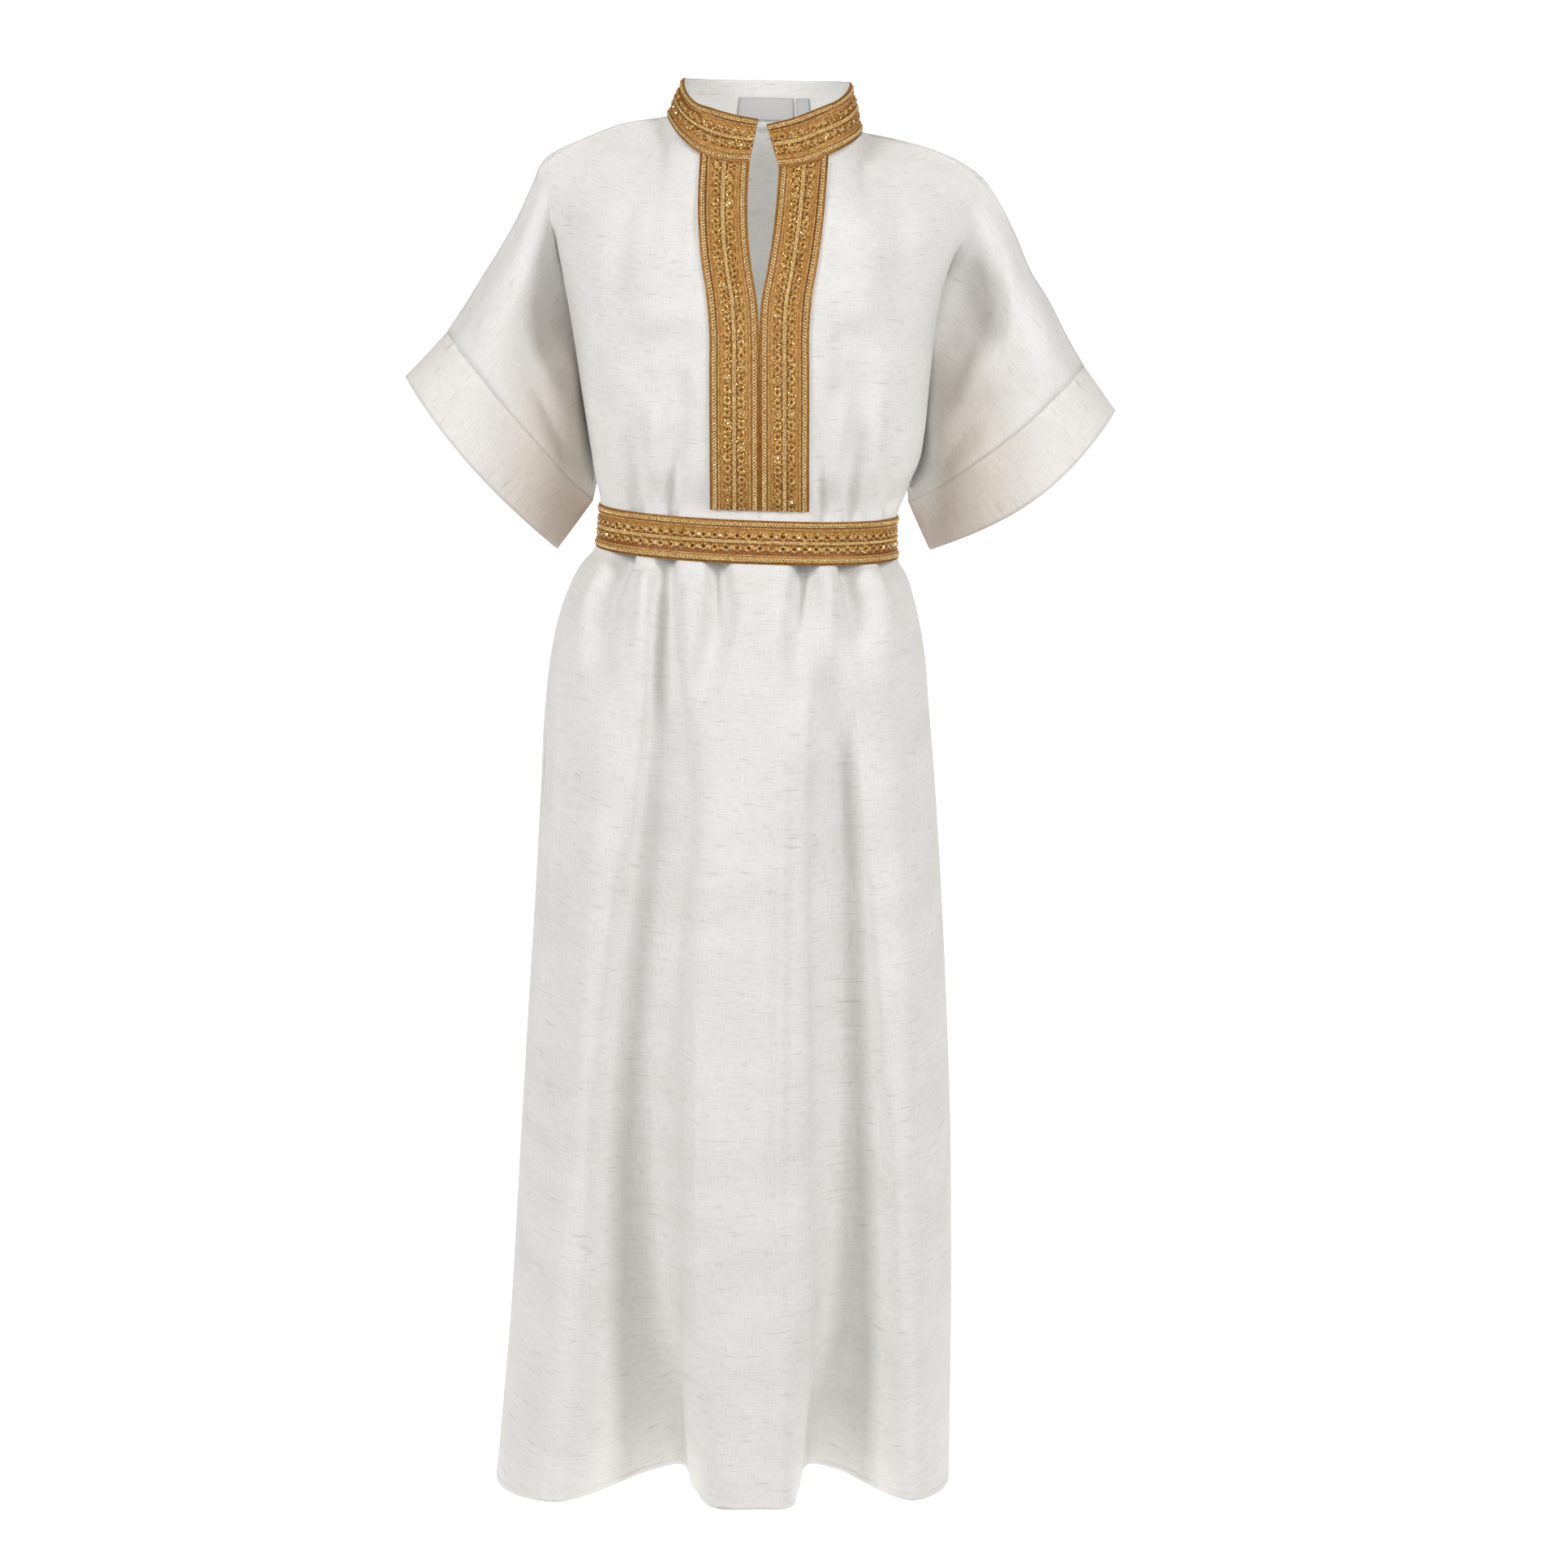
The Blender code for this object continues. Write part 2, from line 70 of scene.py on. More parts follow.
bpy.ops.object.select_all(action="DESELECT")
bpy.ops.object.camera_add(location=CAMERA_AT, rotation=(math.radians(90) - CAMERA_DOWN, 0, 0))
camera = bpy.context.object
camera.name = "camera"
camera.data.sensor_width = SENSOR
camera.data.lens = SENSOR * VIEW_DISTANCE / VIEW_WIDTH
camera.data.clip_end = 50
bpy.context.scene.camera = camera
print("lens", round(camera.data.lens, 1), "mm")

# %% [markdown]
# ## Finding the cloth in a CAD solid
#
# A CAD node is a closed wall of loose triangles: an outer skin, an inner one and a
# narrow rim. A cloth is easier to refine from a grid of rows and columns, as a
# woven cloth has warp and weft. So a copy of the mesh is merged, its rim and inner
# skin are deleted, and the outer skin is read row by row: beside each known row,
# every pair of triangles gives one more knot of the next row.

# %% Read the outer skin of a node
MERGE = 0.01 * MM
RIM_SLACK = 0.02 * MM


def outer_skin(name, wall):
    """The outer skin of a CAD node, as a bmesh of triangles, without its rim."""
    skin = bmesh.new()
    skin.from_mesh(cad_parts[name].data)
    bmesh.ops.remove_doubles(skin, verts=skin.verts[:], dist=MERGE)
    rim = [f for f in skin.faces if any(abs(e.calc_length() - wall) < RIM_SLACK for e in f.edges)]
    bmesh.ops.delete(skin, geom=rim, context="FACES")
    unseen = set(skin.faces)
    islands = []
    while unseen:
        island = [unseen.pop()]
        for face in island:
            beside = {f for e in face.edges for f in e.link_faces} & unseen
            unseen -= beside
            island.extend(beside)
        islands.append((sum(f.calc_area() for f in island), island))
    islands.sort(key=lambda pair: -pair[0])
    inner = [f for _, island in islands[1:] for f in island]
    bmesh.ops.delete(skin, geom=inner, context="FACES")
    print(f"{name}: outer skin {islands[0][0]:.4f} m2, {len(skin.faces)} triangles")
    return skin


def edge_loops(skin):
    """The skin's open edges as ordered loops of knots."""
    unseen = {v for v in skin.verts if v.is_boundary}
    loops = []
    while unseen:
        loop = [min(unseen, key=lambda v: v.index)]
        unseen.discard(loop[0])
        while True:
            onward = [e.other_vert(loop[-1]) for e in loop[-1].link_edges if e.is_boundary]
            onward = [v for v in onward if v in unseen]
            if not onward:
                break
            loop.append(onward[0])
            unseen.discard(onward[0])
        loops.append(loop)
    return loops


def next_row(row, first, used):
    """The knots of the row beside a known one, given the new row's first knot."""
    found = [first]
    for a, b in zip(row, row[1:]):
        c = found[-1]
        beside = [f for f in a.link_faces if c in f.verts and f not in used]
        near = min(beside, key=lambda f: (f.calc_center_median() - b.co).length)
        used.add(near)
        third = next(v for v in near.verts if v not in (a, c))
        crossed = (b, c) if third == b else (a, third)
        far = next(f for f in crossed[0].link_faces if crossed[1] in f.verts and f not in used)
        used.add(far)
        if third == b:
            third = next(v for v in far.verts if v not in crossed)
        found.append(third)
    return found


def places(rows):
    """The rows of knots as an array of points."""
    return np.array([[v.co for v in row] for row in rows])


# %% Read a panel: half of the front or of the back
SIDE_COLUMNS = 16
BODICE_ROWS = 10
SKIRT_ROWS = 15
SLEEVE_COLUMNS = 6
CLOTH_WALL = 1.3 * MM
HEM_WAVE = 25 * MM  # the hem's corner lies within this of its lowest knot


def half_panel(skin, side):
    """Rows of knots, from the neck down, each from the centre out to the sleeve or side."""
    loop = edge_loops(skin)[0]
    lowest = min(v.co.z for v in loop)
    corner = max((v for v in loop if v.co.z < lowest + HEM_WAVE), key=lambda v: side * v.co.x)
    at = loop.index(corner)
    beside = [loop[at - 1], loop[(at + 1) % len(loop)]]
    upward = max(beside, key=lambda v: v.co.z)
    loop = loop[at:] + loop[:at]
    if loop[1] is not upward:
        loop = [loop[0], *loop[:0:-1]]
    row = [loop[-i] if i else loop[0] for i in range(SIDE_COLUMNS + 1)]
    used = set()
    rows = [row]
    for i in range(1, SKIRT_ROWS + 1):
        rows.append(next_row(rows[-1], loop[i], used))
    row = loop[SKIRT_ROWS + SLEEVE_COLUMNS:SKIRT_ROWS:-1] + rows[-1]
    long_rows = [row]
    for i in range(1, BODICE_ROWS + 1):
        long_rows.append(next_row(long_rows[-1], loop[SKIRT_ROWS + SLEEVE_COLUMNS + i], used))
    skirt = places(rows)[::-1, ::-1]
    bodice = places(long_rows)[::-1, ::-1]
    print("panel", "left" if side > 0 else "right", bodice.shape, skirt.shape)
    return bodice, skirt


panels = {}
for name in ("front", "back"):
    skin = outer_skin(name, CLOTH_WALL)
    for side in (-1, 1):
        panels[name, side] = half_panel(skin, side)
    skin.free()

# %% [markdown]
# ## Reading the narrow pieces
#
# The collar, its ribbon and the two bands of the placket are strips with four
# corners, which are the sharpest turns of their edge. The cuffs and the belt are
# rings, with no corner at all: their rows run round from any knot.

# %% Read strips and rings
TRIM_WALL = 1.2 * MM
LABEL_WALL = 1.0 * MM
CUFF_WALL = 2.0 * MM


def strip(name, wall, start, towards):
    """A strip's rows; the first runs from the corner near start to the one near towards."""
    skin = outer_skin(name, wall)
    loop = edge_loops(skin)[0]
    around = [v.co for v in loop]
    steps = [(b - a).normalized() for a, b in zip(around, around[1:] + around[:1])]
    bends = [before.dot(after) for before, after in zip(steps[-1:] + steps[:-1], steps)]
    corners = [loop[i] for i in sorted(range(len(loop)), key=lambda i: bends[i])[:4]]
    first = min(corners, key=lambda v: (v.co - Vector(start)).length)
    last = min(corners, key=lambda v: (v.co - Vector(towards)).length)
    at = loop.index(first)
    loop = loop[at:] + loop[:at]
    if next(v for v in loop[1:] if v in corners) is not last:
        loop = [loop[0], *loop[:0:-1]]
    rows = [loop[:loop.index(last) + 1]]
    used = set()
    for knot in loop[:0:-1]:
        rows.append(next_row(rows[-1], knot, used))
        if knot in corners:
            break
    points = places(rows)
    skin.free()
    print(name, points.shape)
    return points


def ring(name, wall, top):
    """A ring's rows, from its upper edge down if top is true; the first knot comes again at the end."""
    skin = outer_skin(name, wall)
    loops = sorted(edge_loops(skin), key=lambda loop: sum(v.co.z for v in loop))
    loop = loops[-1] if top else loops[0]
    start = min(range(len(loop)), key=lambda i: abs(loop[i].co.x) * 0.1 - loop[i].co.y)
    loop = loop[start:] + loop[:start + 1]
    rows = [loop]
    used = set()
    while True:
        beside = [e.other_vert(rows[-1][0]) for e in rows[-1][0].link_edges]
        known = {v for row in rows for v in row}
        beside = [v for v in beside if v not in known]
        if not beside:
            break
        nearest = min(beside, key=lambda v: (v.co - rows[-1][0].co).length)
        rows.append(next_row(rows[-1], nearest, used))
    points = places(rows)
    skin.free()
    print(name, points.shape)
    return points


# Places near the corners where each strip's first row starts and ends.
SLIT_RIGHT, SLIT_LEFT = (-0.014, -0.08, -0.04), (0.014, -0.08, -0.04)
COLLAR_END = (0.02, -0.08, -0.045)
PLACKET_FOOT = (0, -0.11, -0.355)

narrow = {
    "collar": strip("collar", CLOTH_WALL, SLIT_RIGHT, COLLAR_END),
    "collar_trim": strip("collar_trim", TRIM_WALL, SLIT_RIGHT, COLLAR_END),
    "neck_label": strip("neck_label", LABEL_WALL, (-0.0232, 0.062, 0.031), (0.0329, 0.062, 0.031)),
    "neck_tab": strip("neck_tab", LABEL_WALL, (0.0349, 0.06, 0.03), (0.0495, 0.056, 0.03)),
    "placket_trim_right": strip("placket_trim_right", TRIM_WALL, SLIT_RIGHT, PLACKET_FOOT),
    "placket_trim_left": strip("placket_trim_left", TRIM_WALL, SLIT_LEFT, PLACKET_FOOT),
    "belt": ring("belt", TRIM_WALL, True),
    "cuff_right": ring("cuff_right", CUFF_WALL, True),
    "cuff_left": ring("cuff_left", CUFF_WALL, True),
}

# Below the neck slit the CAD leaves a fine gap between the two bands. There they touch.
TRIM_GAP = 0.5 * MM
for side_name in ("right", "left"):
    inner_edge = narrow["placket_trim_" + side_name][0]
    inner_edge[np.abs(inner_edge[:, 0]) < TRIM_GAP, 0] *= 0.1

# %% [markdown]
# ## From a coarse grid to smooth cloth
#
# The CAD's grid has a knot every few centimetres. A smooth curve is run through
# each row of knots and then down each column, and read off every 5 mm or so. The
# curve passes through every knot, so the cloth keeps the CAD's size and place.
#
# Each point also gets its place on the uncut cloth: how far it lies along the weft
# and along the warp. That becomes the UV map, in metres, and the weave is drawn on
# it, so that the threads follow the body and turn along the sleeves.

# %% Curves through the knots
def through(points, at):
    """Points of smooth curves through knots (axis 0), at fractional knot numbers."""
    spans = np.linalg.norm(np.diff(points, axis=0), axis=2)[..., None]
    slopes = np.diff(points, axis=0) / spans
    turns = np.concatenate([slopes[:1], slopes, slopes[-1:]])
    weights = np.concatenate([spans[:1], spans, spans[-1:]])
    tangents = (weights[1:] * turns[:-1] + weights[:-1] * turns[1:]) / (weights[1:] + weights[:-1])
    k = np.minimum(np.floor(at).astype(int), len(points) - 2)
    u = (np.asarray(at) - k)[:, None, None]
    start = points[k] * (1 + 2 * u) * (1 - u) ** 2 + spans[k] * tangents[k] * u * (1 - u) ** 2
    return start + points[k + 1] * u * u * (3 - 2 * u) - spans[k] * tangents[k + 1] * u * u * (1 - u)


def swap(grid):
    """The same grid with its rows as columns."""
    return grid.transpose(1, 0, 2)


def split(points, step):
    """Fractional knot numbers that cut each span into steps of about this length."""
    spans = np.linalg.norm(np.diff(points, axis=0), axis=2).mean(axis=1)
    at = [0.0]
    for k, span in enumerate(spans):
        count = max(1, round(span / step))
        at.extend(k + (i + 1) / count for i in range(count))
    return np.array(at)


def run_lengths(points):
    """Distance along axis 0 from the first point."""
    steps = np.linalg.norm(np.diff(points, axis=0), axis=2)
    return np.concatenate([np.zeros((1, points.shape[1])), np.cumsum(steps, axis=0)])


def smooth(values, low, high):
    """0 at low, 1 at high, with a soft start and end."""
    u = np.clip((np.asarray(values, float) - low) / (high - low), 0, 1)
    return u * u * (3 - 2 * u)


def normals_of(grid):
    """Unit normals of a grid of points, along (down the columns) x (along the rows)."""
    across = np.gradient(grid, axis=1)
    down = np.gradient(grid, axis=0)
    normals = np.cross(down, across)
    return normals / np.maximum(np.linalg.norm(normals, axis=2)[..., None], 1e-12)


# %% Meshes from grids
def mesh_of(name, points, faces, uvs):
    """A mesh object at the origin, smooth shaded, with a UV for each point."""
    mesh = bpy.data.meshes.new(name)
    mesh.from_pydata(points.tolist(), [], faces.tolist())
    layer = mesh.uv_layers.new(name="cloth")
    corners = np.array([loop.vertex_index for loop in mesh.loops])
    layer.data.foreach_set("uv", np.asarray(uvs, np.float32)[corners].ravel())
    mesh.shade_smooth()
    piece = bpy.data.objects.new(name, mesh)
    bpy.context.scene.collection.objects.link(piece)
    return piece


def grid_faces(rows, columns, first=0):
    """The quads of a grid whose points are numbered row by row."""
    at = first + np.arange(rows * columns).reshape(rows, columns)
    return np.stack([at[:-1, :-1], at[1:, :-1], at[1:, 1:], at[:-1, 1:]], axis=-1).reshape(-1, 4)


def select_only(piece):
    bpy.ops.object.select_all(action="DESELECT")
    piece.select_set(True)
    bpy.context.view_layer.objects.active = piece


def apply_modifier(piece, kind, **settings):
    """Adds a modifier with these settings and applies it, as by hand."""
    select_only(piece)
    modifier = piece.modifiers.new(kind.lower(), kind)
    for key, value in settings.items():
        setattr(modifier, key, value)
    bpy.ops.object.modifier_apply(modifier=modifier.name)


def triangles(piece):
    piece.data.calc_loop_triangles()
    return len(piece.data.loop_triangles)


sheet_cuts = {}


def note_cut(piece):
    """Notes a cloth's width, length and area as cut, before its seams turn in and it gets its thickness."""
    uv = np.empty(len(piece.data.loops) * 2, np.float32)
    piece.data.uv_layers["cloth"].data.foreach_get("uv", uv)
    width, length = (float(x) for x in np.ptp(uv.reshape(-1, 2), axis=0))
    sheet_cuts[piece.name] = width, length, sum(p.area for p in piece.data.polygons)


# %% [markdown]
# ## The front and the back panel
#
# A panel is one cut of linen: the body and both half sleeves, with a fold over the
# shoulder and a seam down the side. Its own thickness is about half a millimetre,
# and 0.9 mm with its seam allowances.
#
# The grid of a half panel has two parts, the body and the sleeve, which share the
# column at the armhole. Both halves meet at the centre, and below the neck slit
# each one's curves start from the other's first column, so that no crease shows.

# %% Refine the panels
CLOTH_STEP = 5.6 * MM
CLOTH_THICK = 0.9 * MM
HEM_ROWS = (7.4, 6.6, 5.8, 3.0)  # extra rows, in millimetres above the hem
JOINED = 0.05 * MM  # the two halves share a knot where they are as near as this


def half_cloth(name, side, row_at):
    """Fine grids of the body and of the sleeve of half a panel."""
    bodice, skirt = panels[name, side]
    other_bodice, other_skirt = panels[name, -side]
    joined = np.linalg.norm(bodice[:, 0] - other_bodice[:, 0], axis=1) < JOINED
    ghost = np.where(joined[:, None], other_bodice[:, 1], 2 * bodice[:, 0] - bodice[:, 1])
    upper = np.concatenate([ghost[:, None], bodice], axis=1)
    lower = np.concatenate([other_skirt[1:, 1][:, None], skirt[1:]], axis=1)
    body_at = 1 + split(swap(skirt), CLOTH_STEP * 0.86)
    sleeve_at = split(swap(bodice), CLOTH_STEP)
    sleeve_at = 1 + sleeve_at[sleeve_at >= SIDE_COLUMNS]
    body = np.concatenate([swap(through(swap(upper), body_at)), swap(through(swap(lower), body_at))])
    body = through(body, row_at)
    sleeve = through(swap(through(swap(upper), sleeve_at)), row_at[row_at <= BODICE_ROWS])
    sleeve[:, 0] = body[:len(sleeve), -1]
    return body, sleeve


def rows_of(name):
    """Where a panel's fine rows lie, with a few more of them at the hem's fold."""
    whole = np.concatenate([np.concatenate([bodice[:, :SIDE_COLUMNS + 1], skirt[1:]])
                            for bodice, skirt in (panels[name, -1], panels[name, 1])], axis=1)
    row_at = split(whole, CLOTH_STEP)
    last = np.linalg.norm(whole[-1] - whole[-2], axis=1).mean()
    hem = [len(whole) - 1 - d * MM / last for d in HEM_ROWS]
    row_at = row_at[(row_at < hem[0] - 0.03) | (row_at >= len(whole) - 1)]
    return np.sort(np.append(row_at, hem))


def panel_cloth(name):
    """A whole panel as points, faces, places on the uncut cloth, and marks of its parts."""
    row_at = rows_of(name)
    points, faces, flat, in_sleeve, at_edge, from_hem, from_cuff = [], [], [], [], [], [], []
    outward = -1 if name == "front" else 1
    for side in (-1, 1):
        body, sleeve = half_cloth(name, side, row_at)
        armpit = len(sleeve) - 1
        down = run_lengths(body)
        v = down[armpit] - down
        u = run_lengths(swap(body)).T + np.abs(body[:, :1, 0])
        sleeve_u = run_lengths(swap(sleeve)).T + u[:armpit + 1, -1:]
        sleeve_v = np.repeat(v[:armpit + 1, -1:], sleeve.shape[1], axis=1)
        for grid, gu, gv, sleeved in ((body, u, v, 0), (sleeve, sleeve_u, sleeve_v, 1)):
            rows, columns = grid.shape[:2]
            quads = grid_faces(rows, columns, sum(len(p) for p in points))
            middle = grid[rows // 2, columns // 3:columns // 3 + 2], grid[rows // 2 + 1, columns // 3]
            facing = np.cross(middle[1] - middle[0][0], middle[0][1] - middle[0][0])[1]
            faces.append(quads if facing * outward > 0 else quads[:, ::-1])
            points.append(grid.reshape(-1, 3))
            flat.append(np.stack([side * gu, gv], axis=-1).reshape(-1, 2))
            in_sleeve.append(np.full(rows * columns, sleeved))
            edge = np.zeros((rows, columns))
            edge[0] = 1
            edge[armpit if not sleeved else 0:, -1] = 1
            if sleeved:
                edge[-1, 1:] = 1
            at_edge.append(edge.ravel())
            hem = (down[-1] - down) if not sleeved else np.ones((rows, columns))
            from_hem.append(hem.ravel())
            from_cuff.append((gu[:, -1:] - gu).ravel() if sleeved else np.ones(rows * columns))
    points, faces, flat = (np.concatenate(x) for x in (points, faces, flat))
    marks = [np.concatenate(x) for x in (in_sleeve, at_edge, from_hem, from_cuff)]
    keys = np.round(points / MERGE).astype(np.int64)
    _, first, places_in = np.unique(keys, axis=0, return_index=True, return_inverse=True)
    print(f"{name}: {len(points)} points, {len(first)} once merged, {len(faces)} quads")
    return points[first], places_in.reshape(-1)[faces], flat[first], [m[first] for m in marks]


# %% [markdown]
# ## Seams
#
# Where two pieces are sewn, both edges turn in and their seam allowances lie inside.
# So each sewn edge is drawn up to its neighbour's and then extruded inwards, which
# also shuts the fine gap that the CAD leaves between its solids.

# %% Turn the sewn edges in
SEAM_REACH = 0.22 * MM
SEAM_ROLL = 0.12 * MM
ALLOWANCE = 4.5 * MM
KNOT_LIMIT = 100_000  # more knots than a piece has


def put_in_order(shell):
    """Sorts edges and faces by their knots: an extrusion leaves them in a new order each run."""
    shell.verts.index_update()

    def rank(element):
        first, second, *others = sorted(v.index for v in element.verts)
        return (first * KNOT_LIMIT + second) * KNOT_LIMIT + (others[0] if others else 0)

    for elements in (shell.edges, shell.faces):
        elements.sort(key=rank)
        elements.index_update()


def turn_edges_in(piece, sewn):
    """Draws the sewn knots out to the seam and extrudes their edges inwards."""
    shell = bmesh.new()
    shell.from_mesh(piece.data)
    shell.verts.ensure_lookup_table()
    uv = shell.loops.layers.uv["cloth"]
    sewn = {shell.verts[i] for i in np.flatnonzero(sewn)}
    edges = [e for e in shell.edges if e.is_boundary and all(v in sewn for v in e.verts)]
    ends = {v for e in edges for v in e.verts}
    inward = {v: -v.normal.copy() for v in ends}
    cloth_place = {v: v.link_loops[0][uv].uv.copy() for v in ends}
    outward = {}
    for v in ends:
        middle = sum((f.calc_center_median() for f in v.link_faces), Vector()) / len(v.link_faces)
        away = v.co - middle
        mine = [e for e in v.link_edges if e.is_boundary]
        run = mine[0].other_vert(v).co - (mine[1].other_vert(v).co if len(mine) > 1 else v.co)
        run.normalize()
        away -= away.dot(run) * run
        away -= away.dot(v.normal) * v.normal
        outward[v] = away.normalized()
    made = bmesh.ops.extrude_edge_only(shell, edges=edges)["geom"]
    fresh = [g for g in made if isinstance(g, bmesh.types.BMVert)]
    nearest = {}
    for v in fresh:
        nearest[v] = min((e.other_vert(v) for e in v.link_edges if e.other_vert(v) in ends),
                         key=lambda w: (w.co - v.co).length)
    for v, old in nearest.items():
        v.co = old.co + outward[old] * SEAM_REACH + inward[old] * ALLOWANCE
        for loop in v.link_loops:
            loop[uv].uv = cloth_place[old] + Vector((ALLOWANCE, 0))
            for beside in (loop.link_loop_next, loop.link_loop_prev):
                if beside.vert in ends:
                    beside[uv].uv = cloth_place[beside.vert]
    for v in ends:
        v.co += outward[v] * SEAM_REACH + inward[v] * SEAM_ROLL
    put_in_order(shell)
    shell.to_mesh(piece.data)
    shell.free()


# %% [markdown]
# ## Creases, placed one by one
#
# Linen hangs in a few long, soft folds and some short ones where the belt gathers
# it. The deepest are already in the CAD. Each other one is a line of places on the
# garment, given as x and z in millimetres, with a half width and a height: above
# zero is a ridge, below zero a trough. It is highest at its middle, rounded across,
# and fades towards its ends. No two are alike.

# %% Press and raise creases
def crease(points, path, width, height, fades, spread):
    """How far a crease moves each point, by its distance from a path in x and z."""
    path = np.array(path, float) * MM
    spans = np.linalg.norm(np.diff(path, axis=0), axis=1)
    starts = np.concatenate([[0], np.cumsum(spans)])
    nearest = np.full(len(points), 1e9)
    along = np.zeros(len(points))
    plane = points[:, [0, 2]]
    for a, b, span, start in zip(path, path[1:], spans, starts):
        share = np.clip(((plane - a) @ (b - a)) / span**2, 0, 1)
        away = np.linalg.norm(plane - (a + share[:, None] * (b - a)), axis=1)
        closer = away < nearest
        nearest = np.where(closer, away, nearest)
        along = np.where(closer, start + share * span, along)
    place = along / starts[-1]
    faded = smooth(place, 0, fades[0]) * (1 - smooth(place, 1 - fades[1], 1))
    wide = width * MM * (1 + spread * place)
    across = np.clip(nearest / wide, 0, 1)
    return height * MM * faded * (1 + np.cos(np.pi * across)) / 2


